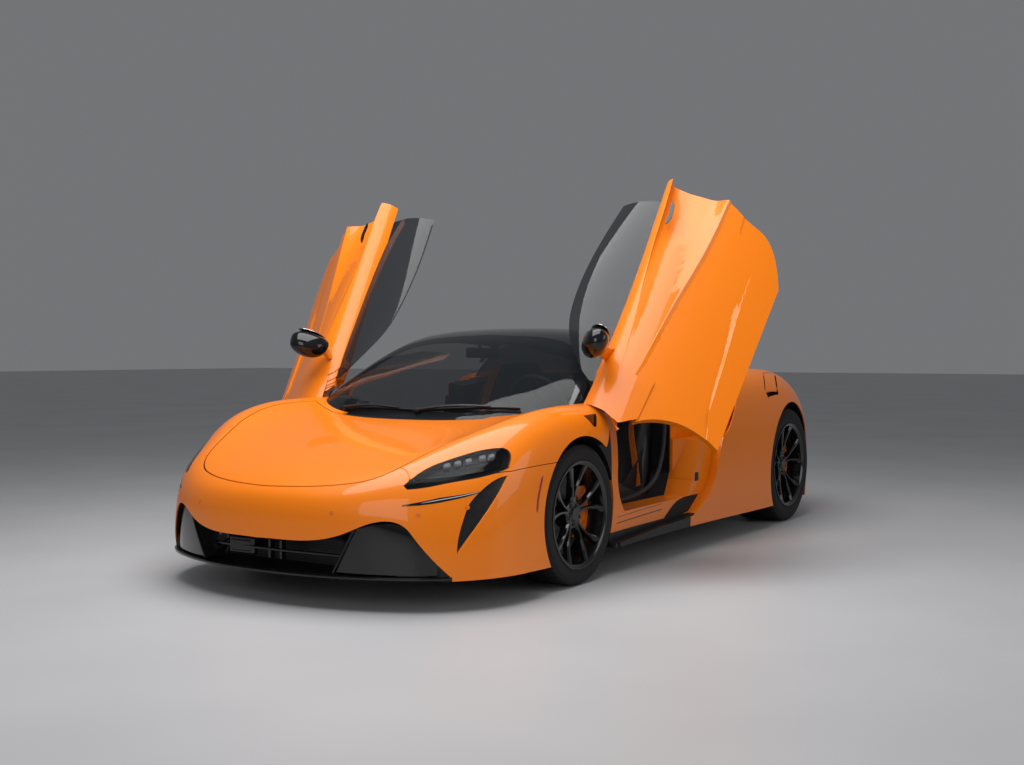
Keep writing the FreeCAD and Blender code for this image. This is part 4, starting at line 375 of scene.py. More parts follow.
def through(points, count):
    """A smooth line through points: cubic Hermite pieces with central-difference slopes."""
    points = np.asarray(points, float)
    t = np.linspace(0, len(points) - 1, count)
    slopes = np.gradient(points, axis=0)
    first = np.minimum(t.astype(int), len(points) - 2)
    u = (t - first)[:, None]
    a, b, leave, arrive = points[first], points[first + 1], slopes[first], slopes[first + 1]
    return ((2 * u**3 - 3 * u**2 + 1) * a + (u**3 - 2 * u**2 + u) * leave
            + (3 * u**2 - 2 * u**3) * b + (u**3 - u**2) * arrive)


def grid_piece(name, grid, loop=False, caps=False, limit=40):
    """A mesh from rows of points, each row a ring; loop joins the last row to the first, caps close the ends.

    The faces are turned over where the enclosed volume, the sum of their corners' triple products, is
    negative.
    """
    rows, columns = grid.shape[:2]
    i, j = np.meshgrid(np.arange(rows if loop else rows - 1), np.arange(columns), indexing="ij")
    i, j = i.ravel(), j.ravel()
    up, over = (i + 1) % rows, (j + 1) % columns
    a, b = i * columns + j, i * columns + over
    c, d = up * columns + over, up * columns + j
    faces = np.concatenate([np.stack([a, b, c], 1), np.stack([a, c, d], 1)])
    points = grid.reshape(-1, 3)
    if caps:
        middles = np.stack([grid[0].mean(0), grid[-1].mean(0)])
        points = np.concatenate([points, middles])
        near, j = np.arange(columns), (np.arange(columns) + 1) % columns
        last = (rows - 1) * columns
        faces = np.concatenate([faces, np.stack([np.full(columns, rows * columns), j, near], 1),
                                np.stack([np.full(columns, rows * columns + 1), last + near, last + j], 1)])
    corners = points[faces]
    if np.einsum("ij,ij->i", corners[:, 0], np.cross(corners[:, 1], corners[:, 2])).sum() < 0:
        faces = faces[:, ::-1]
    return new_mesh(name, points, faces, creased_normals(points, faces, limit).reshape(-1, 3))


def sheet_piece(name, grid, shift):
    """A sheet closed between a grid of points and the same grid shifted."""
    return grid_piece(name, np.concatenate([grid, (grid + shift)[:, ::-1]], 1), caps=True)


def swept(name, path, profile, up=(0, 0, 1), scale=None, limit=40):
    """A closed profile of (side, up) points carried along a path, its side across the path and up.

    Each row is path + side * (tangent x up) + up' with the profile scaled row by row.
    """
    tangent = unit(np.gradient(path, axis=0))
    side = unit(np.cross(tangent, np.broadcast_to(np.asarray(up, float), path.shape)))
    rise = np.cross(side, tangent)
    spread = profile[None] * (np.ones((len(path), 2)) if scale is None else scale)[:, None, :]
    grid = path[:, None] + spread[..., :1] * side[:, None] + spread[..., 1:] * rise[:, None]
    return grid_piece(name, grid, caps=True, limit=limit)


def turns(count):
    """Angles evenly spaced round a circle."""
    return np.arange(count) * 2 * np.pi / count


def circle(radius=1.0, sides=12):
    """A round profile."""
    angle = turns(sides)
    return radius * np.stack([np.cos(angle), np.sin(angle)], 1)


def pad_profile(width, height, corner=0.3, sides=20):
    """A rounded rectangle profile: a superellipse whose power follows the corner share."""
    angle = turns(sides)
    power = 2 * corner
    return np.stack([width / 2 * np.sign(np.cos(angle)) * np.abs(np.cos(angle)) ** power,
                     height / 2 * np.sign(np.sin(angle)) * np.abs(np.sin(angle)) ** power], 1)


def tube(name, path, radius, sides=10):
    """A round tube along a path."""
    return swept(name, path, circle(radius, sides), limit=60)


def lathe(name, profile, centre, steps=96, limit=30):
    """A ring about an axis across the car from a closed profile of (distance along it, radius)."""
    angle = turns(steps)
    profile = np.asarray(profile, float)
    grid = np.empty((steps, len(profile), 3))
    grid[..., 0] = centre[0] + profile[None, :, 0]
    grid[..., 1] = centre[1] + profile[None, :, 1] * np.cos(angle)[:, None]
    grid[..., 2] = centre[2] + profile[None, :, 1] * np.sin(angle)[:, None]
    return grid_piece(name, grid, loop=True, limit=limit)


def ribbon(name, line, out, half, lift, edge, sunk, limit=40):
    """A closed band along a line: half its widths, raised by lift along out and by edge at its sides."""
    side = unit(np.cross(unit(np.gradient(line, axis=0)), out))
    profile = np.array([(-1, -sunk), (-1, edge), (-0.8, lift), (0.8, lift), (1, edge), (1, -sunk)])
    grid = (line[:, None] + profile[None, :, :1] * half[:, None, None] * side[:, None]
            + profile[None, :, 1:] * out[:, None])
    return grid_piece(name, grid, caps=True, limit=limit)


def drawn_in(count, taper, least):
    """Width shares along a line whose ends are drawn in over the taper share."""
    t = np.linspace(0, 1, count)
    return np.clip(np.minimum(t, 1 - t) / taper, least, 1) ** 0.5


def strip(name, surface, path, width, lift=0.0015, sunk=0.004, taper=0.15):
    """A strip that lies on a spline surface along a path, its ends drawn in by the taper share."""
    count = 40
    foot, normals = on_surface(surface, through(path, count))
    edge = lift - 0.6 * min(abs(lift), 0.003)
    return ribbon(name, foot, normals, width / 2 * drawn_in(count, taper, 0.08), lift, edge, sunk, 50)


def patch(name, surface, guesses, lift, thickness=SHEET, door=0):
    """A sheet over a grid of guesses: their nearest surface points, raised by lift along the normals.

    Where door is 1 or -1, the sheet is moved from the closed left door to that side's raised one.
    """
    foot, normals = on_surface(surface, guesses.reshape(-1, 3))
    top = (foot + normals * lift).reshape(guesses.shape)
    under = (foot + normals * (lift - thickness)).reshape(guesses.shape)
    ring = np.concatenate([top, under[:, ::-1]], 1)
    return grid_piece(name, on_door(ring, door) if door else ring, caps=True, limit=35)


def between(edge_a, edge_b, count, rows=24):
    """A grid of points between two lines."""
    a, b = through(edge_a, count), through(edge_b, count)
    share = np.linspace(0, 1, rows)[None, :, None]
    return a[:, None] * (1 - share) + b[:, None] * share


def block(name, centre, size, bevel):
    """A box with rounded edges."""
    corners = np.array([(x, y, z) for x in (-1, 1) for y in (-1, 1) for z in (-1, 1)], float)
    faces = np.array([(0, 1, 3, 2), (4, 6, 7, 5), (0, 4, 5, 1), (2, 3, 7, 6), (0, 2, 6, 4), (1, 5, 7, 3)])
    piece = new_mesh(name, corners * (np.array(size) / 2) + np.array(centre), faces, smooth=True)
    edge = piece.modifiers.new("edges", "BEVEL")
    edge.width, edge.segments, edge.harden_normals = bevel, 3, True
    return piece


def joined(name, pieces):
    """One mesh object from several, modifiers applied."""
    points, faces, normals, base = [], [], [], 0
    graph = bpy.context.evaluated_depsgraph_get()
    for piece in pieces:
        mesh = piece.evaluated_get(graph).to_mesh() if piece.modifiers else piece.data
        mesh.calc_loop_triangles()
        points.append(read_rows(mesh.vertices, "co"))
        faces.append(read_rows(mesh.loop_triangles, "vertices", int) + base)
        loops = read_rows(mesh.loop_triangles, "loops", int).ravel()
        normals.append(read_rows(mesh.corner_normals, "vector")[loops])
        base += len(mesh.vertices)
    for piece in pieces:
        bpy.data.objects.remove(piece)
    return new_mesh(name, np.concatenate(points), np.concatenate(faces), np.concatenate(normals))


# Materials

def set_inputs(node, values):
    """Sets a node's inputs by name, where an underscore stands for a space."""
    for key, value in values.items():
        node.inputs[key.replace("_", " ")].default_value = value
    return node


def principled(name, **values):
    """A material with one Principled shader whose inputs are set by name."""
    material = bpy.data.materials.new(name)
    material.use_nodes = True
    nodes = material.node_tree.nodes
    return material, nodes, material.node_tree.links, set_inputs(nodes["Principled BSDF"], values)


def add_node(nodes, kind, **values):
    """A new shader node whose inputs are set by name."""
    return set_inputs(nodes.new("ShaderNode" + kind), values)


def noise(nodes, links, scale, detail=2.0, stretch=(1, 1, 1)):
    """The factor socket of a noise pattern on Object coordinates."""
    mapping = add_node(nodes, "Mapping", Scale=stretch)
    texture = add_node(nodes, "TexNoise", Scale=scale, Detail=detail)
    links.new(add_node(nodes, "TexCoord").outputs["Object"], mapping.inputs["Vector"])
    links.new(mapping.outputs["Vector"], texture.inputs["Vector"])
    return texture.outputs["Fac"]


def ramp(nodes, links, source, stops, target):
    """Feeds a target with colours between two stops, by a factor."""
    node = add_node(nodes, "ValToRGB")
    for element, (place, colour) in zip(node.color_ramp.elements, stops):
        element.position, element.color = place, (*colour, 1)
    links.new(source, node.inputs["Fac"])
    links.new(node.outputs["Color"], target)


def spread_out(nodes, links, source, low, high, target):
    """Feeds a target with values from low to high, by a factor."""
    node = add_node(nodes, "MapRange", To_Min=low, To_Max=high)
    links.new(source, node.inputs["Value"])
    links.new(node.outputs["Result"], target)


def bump(nodes, links, source, strength, distance, shader):
    """Bends a shader's normals by a height pattern."""
    node = add_node(nodes, "Bump", Strength=strength, Distance=distance)
    links.new(source, node.inputs["Height"])
    links.new(node.outputs["Normal"], shader.inputs["Normal"])


def rough_variation(nodes, links, shader, scale, low, high):
    """Roughness that wanders between two values."""
    spread_out(nodes, links, noise(nodes, links, scale), low, high, shader.inputs["Roughness"])


def make_paint(name, colour):
    """Deep gloss paint: fine flakes under a clear coat, with a faint wave as on pressed panels."""
    material, nodes, links, shader = principled(
        name, Base_Color=(*colour, 1), Roughness=0.4, Coat_Weight=0.55, Coat_Roughness=0.03, Coat_IOR=1.42,
        Specular_IOR_Level=0.25)
    darker = tuple(channel * 0.92 for channel in colour)
    ramp(nodes, links, noise(nodes, links, 900, 1), [(0.35, darker), (0.65, colour)],
         shader.inputs["Base Color"])
    bump(nodes, links, noise(nodes, links, 5, 1), 0.02, 0.01, shader)
    return material


def make_plain(name, colour, low, high, scale=30, metallic=0.0, grain=0.0, grain_scale=400, coat=0.0,
               shine=0.5):
    """A finish whose tone and roughness wander, with an optional fine grain."""
    material, nodes, links, shader = principled(name, Base_Color=(*colour, 1), Metallic=metallic,
                                                Coat_Weight=coat, Coat_Roughness=0.05,
                                                Specular_IOR_Level=shine)
    rough_variation(nodes, links, shader, scale, low, high)
    lighter = tuple(min(1, channel * 1.25 + 0.003) for channel in colour)
    ramp(nodes, links, noise(nodes, links, scale * 2), [(0.3, colour), (0.7, lighter)],
         shader.inputs["Base Color"])
    if grain:
        bump(nodes, links, noise(nodes, links, grain_scale, 4), grain, 0.001, shader)
    return material


def make_glass(name, colour, opacity, rim=0.9, coat=0.2, index=1.4):
    """Tinted glass seen as a thin sheet: clearer face on, nearly opaque at a glance."""
    material, nodes, links, shader = principled(
        name, Base_Color=(*colour, 1), IOR=index, Coat_Weight=coat, Coat_Roughness=0.01)
    rough_variation(nodes, links, shader, 3, 0.01, 0.035)
    facing = add_node(nodes, "LayerWeight", Blend=0.35)
    spread_out(nodes, links, facing.outputs["Facing"], opacity, rim, shader.inputs["Alpha"])
    return material


def maths(nodes, links, operation, first, second=None):
    """The result socket of a maths node fed by one socket, and by another or a number."""
    node = add_node(nodes, "Math")
    node.operation = operation
    links.new(first, node.inputs[0])
    if isinstance(second, float):
        node.inputs[1].default_value = second
    elif second is not None:
        links.new(second, node.inputs[1])
    return node.outputs[0]


def make_mesh_with_gap_shade(name, colour, pitch, wire):
    """A woven screen: a grid of wires on Object coordinates, as colour and bump, over near-black gaps that
    are painted shade of the hollow behind.
    """
    material, nodes, links, shader = principled(name, Metallic=0.4)
    rough_variation(nodes, links, shader, 20, 0.35, 0.5)
    split = add_node(nodes, "SeparateXYZ")
    links.new(add_node(nodes, "TexCoord").outputs["Object"], split.inputs["Vector"])
    waves = []
    for axis in ("X", "Z"):
        turn = maths(nodes, links, "MULTIPLY", split.outputs[axis], math.pi / pitch)
        waves.append(maths(nodes, links, "ABSOLUTE", maths(nodes, links, "SINE", turn)))
    least = maths(nodes, links, "MINIMUM", *waves)
    # Between the wires, near black: painted shade where the hollow behind would show
    ramp(nodes, links, least, [(wire, colour), (wire + 0.08, (0.002, 0.002, 0.002))],
         shader.inputs["Base Color"])
    bump(nodes, links, least, -0.6, 0.002, shader)
    return material


def make_lamp(name, colour, strength, body):
    """A lamp insert: a faintly glowing ribbed face."""
    material, nodes, links, shader = principled(
        name, Base_Color=(*body, 1), Coat_Weight=0.6, Emission_Strength=strength, Emission_Color=(*colour, 1))
    rough_variation(nodes, links, shader, 60, 0.1, 0.25)
    bump(nodes, links, noise(nodes, links, 500, 1, (1, 1, 0.1)), 0.2, 0.001, shader)
    return material


MATERIALS = {}


def build_materials(settings):
    """Every finish by its slot name."""
    MATERIALS.update({
        "paint": make_paint("orange_paint", tuple(settings.paint)),
        "gloss_black": make_plain("gloss_black", (0.004, 0.004, 0.005), 0.05, 0.10, 12, coat=0.35,
                                  shine=0.3),
        "carbon": make_plain("satin_black", (0.010, 0.010, 0.011), 0.32, 0.45, 25, grain=0.05, shine=0.3),
        "glass": make_glass("tinted_glass", (0.012, 0.014, 0.017), 0.5),
        "screen": make_glass("windscreen_glass", (0.010, 0.012, 0.014), 0.38, 0.85, 0.1, 1.25),
        "lens": make_glass("lamp_glass", (0.008, 0.008, 0.010), 0.25, 0.7, 0.1, 1.22),
        "red_lens": make_plain("red_lamp_glass", (0.30, 0.004, 0.004), 0.04, 0.09, 20, coat=1.0),
        "seat": make_plain("black_leather", (0.035, 0.034, 0.036), 0.40, 0.55, 40, grain=0.35,
                           grain_scale=260),
        "trim": make_plain("soft_trim", (0.024, 0.024, 0.025), 0.5, 0.65, 40, grain=0.2),
        "rubber": make_plain("rubber_seal", (0.016, 0.017, 0.019), 0.55, 0.7, 60, grain=0.08),
        "belt": make_plain("orange_webbing", (0.80, 0.17, 0.008), 0.6, 0.75, 30, grain=0.5, grain_scale=900),
        "engine": make_plain("cast_aluminium", (0.20, 0.20, 0.21), 0.45, 0.6, 50, 1.0, 0.2),
        "exhaust": make_plain("brushed_exhaust", (0.40, 0.38, 0.36), 0.22, 0.38, 20, 1.0),
        "steel": make_plain("bright_steel", (0.55, 0.55, 0.56), 0.18, 0.3, 30, 1.0),
        "tyre": make_plain("tyre_rubber", (0.009, 0.009, 0.010), 0.55, 0.75, 60, grain=0.1, shine=0.25),
        "rim": make_plain("rim_black", (0.005, 0.005, 0.006), 0.12, 0.2, 30, 0.1, coat=0.5, shine=0.35),
        "disc": make_plain("ceramic_disc", (0.10, 0.10, 0.10), 0.35, 0.5, 60, 0.8, 0.1),
        "caliper": make_plain("caliper_orange", (0.66, 0.14, 0.006), 0.22, 0.32, 30, coat=0.8),
        "arms": make_plain("cast_arms", (0.14, 0.14, 0.15), 0.4, 0.55, 50, 1.0, 0.1),
        "mesh": make_mesh_with_gap_shade("black_mesh_and_gap_shade", (0.03, 0.03, 0.032), 0.012, 0.22),
        "lamp": make_lamp("lamp_insert", (0.8, 0.9, 1.0), 0.12, (0.35, 0.36, 0.38)),
        "tail_glow": make_lamp("tail_insert", (1.0, 0.02, 0.01), 0.5, (0.4, 0.01, 0.01)),
    })


def finish_piece(piece, body, slot, material=None, *nodes):
    """Gives a piece its body and its material, the slot's own unless another is named, and hides the CAD
    nodes that it stands for.
    """
    piece.data.materials.clear()
    piece.data.materials.append(MATERIALS[material or slot])
    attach(piece, body)
    if nodes:
        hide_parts(*nodes)
    return piece


def dress_node(node, material):
    """Gives a CAD node that stays on show a material."""
    piece = NODES[node]
    piece.data.materials.clear()
    piece.data.materials.append(MATERIALS[material])


SLOT_OF = {entry["node"]: entry["material_slot"] for entry in frame["record"]["subparts"]}
BODY_OF = {node: body for body, names in frame["record"]["behaviour"]["bodies"].items() for node in names}
SIDES = {"left": 1, "right": -1}
PANELS = ("hood", "front_bumper", "fender_left", "fender_right", "quarter_left", "quarter_right",
          "rear_bumper", "fuel_flap", "door_left", "door_right", "side_skirts", "diffuser",
          "tub", "front_structure", "rear_structure", "headlamps", "tail_lamps")
# Two structures are painted outside: beyond this |x|, over this z and on one side (1 or -1) of a y
PAINTED_X, PAINTED_Z = 0.750, 0.195
PAINTED_Y = {"tub": (-0.80, 1), "rear_structure": (0.9, -1)}
GLASSHOUSE = ("windscreen", "rear_window", "roof", "door_glass_left", "door_glass_right")


# Sizes and colours a user would change

class CarSettings(bpy.types.PropertyGroup):
    paint: bpy.props.FloatVectorProperty(
        name="Paint", description="Colour of the painted panels", subtype="COLOR", size=3,
        default=(0.93, 0.215, 0.001), min=0, max=1)
    camera_height: bpy.props.FloatProperty(
        name="Camera height", description="Height of the camera above the floor", default=1.06,
        unit="LENGTH", subtype="DISTANCE")
    lens: bpy.props.FloatProperty(
        name="Lens", description="Focal length of the camera on a 36 mm wide sensor, in millimetres",
        default=44.11, min=1)
    lamp_power: bpy.props.FloatProperty(
        name="Lamp power", description="Power of the large overhead lamp in watts", default=235, min=0)


class CAR_OT_stage(bpy.types.Operator):
    """Make the camera, lamps, pale floor and materials"""
    bl_idname = "car.stage"
    bl_label = "Studio"

    def execute(self, context):
        settings = context.scene.supercar
        scene = context.scene
        build_materials(settings)
        camera = bpy.data.cameras.new("photo_view")
        camera.lens = settings.lens
        camera.sensor_width = 36
        viewer = bpy.data.objects.new("photo_view", camera)
        viewer.location = (*CAMERA_PLACE, settings.camera_height)
        viewer.rotation_euler = (math.radians(90 - CAMERA_DOWN), 0, math.radians(CAMERA_TURN))
        scene.collection.objects.link(viewer)
        scene.camera = viewer

        world = scene.world or bpy.data.worlds.new("studio")
        scene.world = world
        world.use_nodes = True
        sky = world.node_tree.nodes["Background"]
        sky.inputs["Color"].default_value = (0.86, 0.88, 0.92, 1)
        sky.inputs["Strength"].default_value = 0.20

        def lamp(name, place, aim, size, power, stretch=1.0):
            light = bpy.data.lights.new(name, "AREA")
            light.shape = "RECTANGLE"
            light.size, light.size_y = size, size * stretch
            light.energy = power
            holder = bpy.data.objects.new(name, light)
            holder.location = place
            holder.rotation_euler = (Vector(aim) - Vector(place)).to_track_quat("-Z", "Y").to_euler()
            scene.collection.objects.link(holder)

        lamp("overhead", (0.3, -1.6, 4.2), (0, -0.8, 0), 3.6, settings.lamp_power, 1.2)
        lamp("front_fill", (2.5, -7.5, 2.6), (0, -1, 0.6), 3.0, 70)
        lamp("side_fill", (6.5, 0.5, 2.2), (0, 0, 0.6), 3.0, 50)

        corners = FLOOR_REACH * np.array([(-1, -1, 0), (1, -1, 0), (1, 1, 0), (-1, 1, 0)])
        floor = new_mesh("floor", corners, np.array([[0, 1, 2, 3]]))
        material, nodes, links, shader = principled("pale_floor", Roughness=0.45)
        ramp(nodes, links, noise(nodes, links, 0.8), [(0.3, (0.47, 0.47, 0.48)), (0.7, (0.52, 0.52, 0.53))],
             shader.inputs["Base Color"])
        floor.data.materials.append(material)
        scene.view_settings.view_transform = "Standard"
        return {"FINISHED"}


class CAR_OT_panels(bpy.types.Operator):
    """Dress every sheet panel and structure part with normals from the body's own surface"""
    bl_idname = "car.panels"
    bl_label = "Body panels"

    def execute(self, context):
        for node in PANELS:
            side = SIDES[node.split("_")[1]] if node.startswith("door_") else 0
            surfaces = ("body", "glasshouse") if node.startswith("quarter") else ("body",)
            end, way = PAINTED_Y.get(node, (0, 0))
            cuts = ((0, PAINTED_X), (0, -PAINTED_X), (2, PAINTED_Z), (1, end)) if way else ()
            piece = smooth_panel(node, surfaces, side, cuts)
            material = {"front_structure": "carbon", "headlamps": "lens", "tail_lamps": "red_lens"}.get(node)
            finish_piece(piece, BODY_OF[node], SLOT_OF[node], material, node)
            centres, normals = face_data(piece)
            if side:
                closed = closed_pose(centres, side)
                facing = closed_pose(centres + normals, side) - closed
                second_finish(piece, "trim", facing[:, 0] * side < -0.3)
            if way:
                second_finish(piece, "paint", (np.abs(centres[:, 0]) > PAINTED_X)
                              & ((centres[:, 1] - end) * way > 0) & (centres[:, 2] > PAINTED_Z))
        return {"FINISHED"}


# The pane behind each door: its edges along the roof and along the beltline
QUARTER_GLASS = (
    ((0.46, 0.455, 1.130), (0.465, 0.56, 1.115), (0.45, 0.70, 1.09), (0.42, 0.85, 1.063),
     (0.395, 1.01, 1.035), (0.38, 1.14, 1.01), (0.37, 1.28, 0.985), (0.36, 1.42, 0.95)),
    ((0.735, 0.425, 0.92), (0.72, 0.56, 0.918), (0.70, 0.70, 0.918), (0.665, 0.85, 0.922),
     (0.62, 1.02, 0.926), (0.59, 1.16, 0.925), (0.55, 1.31, 0.922), (0.48, 1.46, 0.912)))
QUARTER_GLASS_SUNK = 0.004


class CAR_OT_glasshouse(bpy.types.Operator):
    """Dress the windscreen, roof, rear window and door glass"""
    bl_idname = "car.glasshouse"
    bl_label = "Glass and roof"

    def execute(self, context):
        for node in GLASSHOUSE:
            side = SIDES[node.split("_")[2]] if node.startswith("door_") else 0
            piece = smooth_panel(node, ("glasshouse",), side)
            material = "screen" if node == "windscreen" else None
            finish_piece(piece, BODY_OF[node], SLOT_OF[node], material, node)
        panes = between(*QUARTER_GLASS, 48)
        sheets = [patch("sheet", "glasshouse", panes * (sign, 1, 1), -QUARTER_GLASS_SUNK)
                  for sign in (1, -1)]
        finish_piece(joined("quarter_glass", sheets), "body", SLOT_OF["windscreen"], "glass")
        return {"FINISHED"}


def wheel_sizes(end, side):
    """Centre, half width, outer radius and rim lip radius of a wheel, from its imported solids."""
    low, high = (np.array(corner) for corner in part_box("tyre_%s_%s" % (end, side)))
    rim_low, rim_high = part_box("rim_%s_%s" % (end, side))
    return (low + high) / 2, (high[0] - low[0]) / 2, (high[2] - low[2]) / 2, (rim_high[2] - rim_low[2]) / 2


BEAD_DEPTH = 0.008  # from the rim's lip in to the tyre's bead
TREAD_STEPS = 240  # round the tyre; every fourth has a cross groove
RING_GROOVES = (-0.52, -0.18, 0.18, 0.52)  # shares of the half width
RING_GROOVE_DEPTH, CROSS_GROOVE_DEPTH = 0.006, 0.004
SPOKES = 5  # forked, and as many bolts
HUB_FACE = 0.66  # share of the half width
HUB_RADIUS, BOLT_RING = 0.030, 0.048
# The disc's drilled holes, drawn as painted shade: rows, count round the disc and radius
HOLE_ROWS, HOLES, HOLE_RADIUS = 4, 30, 0.0035
DISC_FACE = 0.012  # from the disc's outer end in to its rubbed face
CALIPER_DEPTH = 0.072  # from the disc's edge in


def tyre_piece(name, centre, half, radius, lip):
    """Tyre: a rounded carcass whose tread has ring grooves and, every fourth step, a cross groove."""
    bead = lip - BEAD_DEPTH
    wall = radius - bead
    outline = [(-0.90, bead), (-0.955, bead + 0.10 * wall), (-0.985, bead + 0.28 * wall),
               (-0.988, bead + 0.33 * wall), (-0.998, bead + 0.40 * wall), (-1.0, bead + 0.52 * wall),
               (-0.992, bead + 0.62 * wall), (-0.982, bead + 0.66 * wall), (-0.975, bead + 0.72 * wall),
               (-0.945, radius - 0.020), (-0.915, radius - 0.010), (-0.88, radius - 0.005)]
    tread = []
    for middle in RING_GROOVES:
        tread += [(middle - 0.05, 0), (middle - 0.035, RING_GROOVE_DEPTH),
                  (middle + 0.035, RING_GROOVE_DEPTH), (middle + 0.05, 0)]
    tread = [(-0.84, 0.003), (-0.80, 0.0015)] + tread + [(0.80, 0.0015), (0.84, 0.003)]
    rows = np.array(outline + [(reach, radius - depth) for reach, depth in tread]
                    + [(-x, r) for x, r in outline[::-1]])
    angle = turns(TREAD_STEPS)[:, None]
    shoulder = (np.abs(rows[:, 0]) > 0.56) & (np.abs(rows[:, 0]) < 0.93) & (rows[:, 1] > radius - 0.012)
    depth = np.where(np.arange(TREAD_STEPS) % 4 == 0, CROSS_GROOVE_DEPTH, 0.0)[:, None]
    reach = rows[:, 1] - depth * shoulder
    grid = np.stack([centre[0] + np.broadcast_to(rows[:, 0] * half, reach.shape),
                     centre[1] + reach * np.cos(angle), centre[2] + reach * np.sin(angle)], -1)
    return grid_piece(name, grid, loop=True, limit=28)


def rim_piece(name, centre, half, lip, sign):
    """Rim: a stepped barrel, five forked spokes, a hub with five bolts and a plain cap."""
    bead = lip - BEAD_DEPTH
    barrel = lathe(name + "_barrel", [(half * a * sign, r) for a, r in (
        (-0.985, lip), (-0.955, lip), (-0.935, bead - 0.001), (0.93, bead - 0.001), (0.952, lip - 0.001),
        (0.975, lip), (0.992, lip - 0.002), (0.995, lip - 0.006), (0.975, bead - 0.006), (0.91, bead - 0.014),
        (0.70, bead - 0.018), (0.20, bead - 0.034), (-0.60, bead - 0.030), (-0.98, bead - 0.008))], centre)
    pieces = [barrel]
    t = np.linspace(0, 1, 22)
    radius = HUB_RADIUS + (bead - 0.012 - HUB_RADIUS) * t
    face = half * (HUB_FACE + 0.25 * t ** 1.6)
    profile = np.array([(-0.5, -1), (-0.5, -0.25), (-0.27, 0), (0.27, 0), (0.5, -0.25), (0.5, -1)])
    width = 0.026 - 0.010 * np.sin(np.pi * np.clip(t * 1.1, 0, 1)) + 0.010 * t ** 6
    depth = 0.040 - 0.016 * t
    for arm in range(SPOKES):
        for fork in (-1, 1):
            opening = 9 - 3 * t + 16.8 * np.clip(t - 0.35, 0, 1)
            turn = math.radians(360 / SPOKES * arm + 90) + fork * np.radians(opening)
            path = np.stack([centre[0] + sign * face, centre[1] + radius * np.cos(turn),
                             centre[2] + radius * np.sin(turn)], 1)
            pieces.append(swept(name + "_spoke", path, profile, up=(sign, 0, 0),
                                scale=np.stack([width, depth], 1), limit=25))
    hub = half * HUB_FACE
    pieces.append(lathe(name + "_hub", [(sign * (hub + a), r) for a, r in (
        (-0.050, 0.001), (-0.050, 0.070), (-0.004, 0.066), (0.0, 0.060), (0.0, 0.036), (0.008, 0.031),
        (0.010, 0.028), (0.010, 0.001))], centre, 64))
    for bolt in range(SPOKES):
        turn = math.radians(360 / SPOKES * bolt + 54)
        at = centre + np.array([0, BOLT_RING * math.cos(turn), BOLT_RING * math.sin(turn)])
        pieces.append(lathe(name + "_bolt", [(sign * (hub + a), r) for a, r in (
            (-0.004, 0.0005), (-0.004, 0.010), (0.002, 0.010), (0.003, 0.0075), (0.008, 0.0070),
            (0.009, 0.0055), (0.009, 0.0005))], at, 12, 50))
    return joined(name, pieces)


def drilled_hole_shades(name, centre, face, outer, sign):
    """Painted shade of a disc's drilled holes: turned rows of small flat octagons at a face."""
    ring, place = np.meshgrid(np.arange(HOLE_ROWS), np.arange(HOLES), indexing="ij")
    turn = (place + ring * 0.28) * 2 * np.pi / HOLES
    reach = outer * (0.62 + 0.095 * ring)
    dots = np.stack([np.full(turn.shape, face + sign * 0.0006), centre[1] + reach * np.cos(turn),
                     centre[2] + reach * np.sin(turn)], -1).reshape(-1, 3)
    corner = np.arange(8) * np.pi / 4 * sign
    rim = np.stack([0 * corner, HOLE_RADIUS * np.cos(corner), HOLE_RADIUS * np.sin(corner)], 1)
    points = (dots[:, None] + rim[None]).reshape(-1, 3)
    return new_mesh(name, points, np.arange(len(points)).reshape(-1, 8))


class CAR_OT_wheels(bpy.types.Operator):
    """Make the tyres with tread, the forked rims, discs with painted shade for their drilled holes, and
    orange calipers
    """
    bl_idname = "car.wheels"
    bl_label = "Wheels and brakes"

    def execute(self, context):
        for end in ("front", "rear"):
            for side, sign in SIDES.items():
                centre, half, radius, lip = wheel_sizes(end, side)
                tail = "_%s_%s" % (end, side)
                body = BODY_OF["rim" + tail]
                for piece, node in ((tyre_piece("tread" + tail, centre, half, radius, lip), "tyre"),
                                    (rim_piece("spokes" + tail, centre, half, lip, sign), "rim")):
                    finish_piece(piece, body, node, None, node + tail)
                disc = "disc" + tail
                finish_piece(soft_copy(disc), BODY_OF[disc], SLOT_OF[disc], "disc", disc)
                low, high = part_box(disc)
                face = high[0] - DISC_FACE if sign > 0 else low[0] + DISC_FACE
                # The disc's holes are not cut: flat dark octagons on its face are painted shade
                holes = drilled_hole_shades("drilled_hole_shades" + tail, centre, face, (high[2] - low[2]) / 2, sign)
                finish_piece(holes, body, "disc", "rubber")
        for node in ("knuckle_left", "knuckle_right", "suspension_front", "suspension_rear"):
            piece = soft_copy(node)
            finish_piece(piece, BODY_OF[node], SLOT_OF[node], None, node)
            if node != "suspension_front":
                centres, _ = face_data(piece)
                end = "rear" if node == "suspension_rear" else "front"
                axle = wheel_sizes(end, "left")[0]
                low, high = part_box("disc_%s_left" % end)
                away = np.hypot(centres[:, 1] - axle[1], centres[:, 2] - axle[2])
                second_finish(piece, "caliper", (away > (high[2] - low[2]) / 2 - CALIPER_DEPTH)
                              & (centres[:, 1] > axle[1] + 0.05) & (np.abs(centres[:, 0]) > 0.755))
        return {"FINISHED"}


# The seat's outline seen from its side, as (y, z) from the cushion's front to the headrest
SEAT_FRONT = ((-0.322, 0.215), (-0.330, 0.300), (-0.285, 0.352), (-0.12, 0.345), (0.03, 0.325),
              (0.115, 0.36), (0.175, 0.50), (0.245, 0.68), (0.310, 0.84), (0.352, 0.945), (0.385, 0.995))
SEAT_BACK = ((-0.290, 0.200), (-0.20, 0.196), (-0.05, 0.194), (0.10, 0.194), (0.235, 0.210),
             (0.285, 0.34), (0.325, 0.52), (0.368, 0.70), (0.415, 0.85), (0.445, 0.95), (0.425, 0.998))
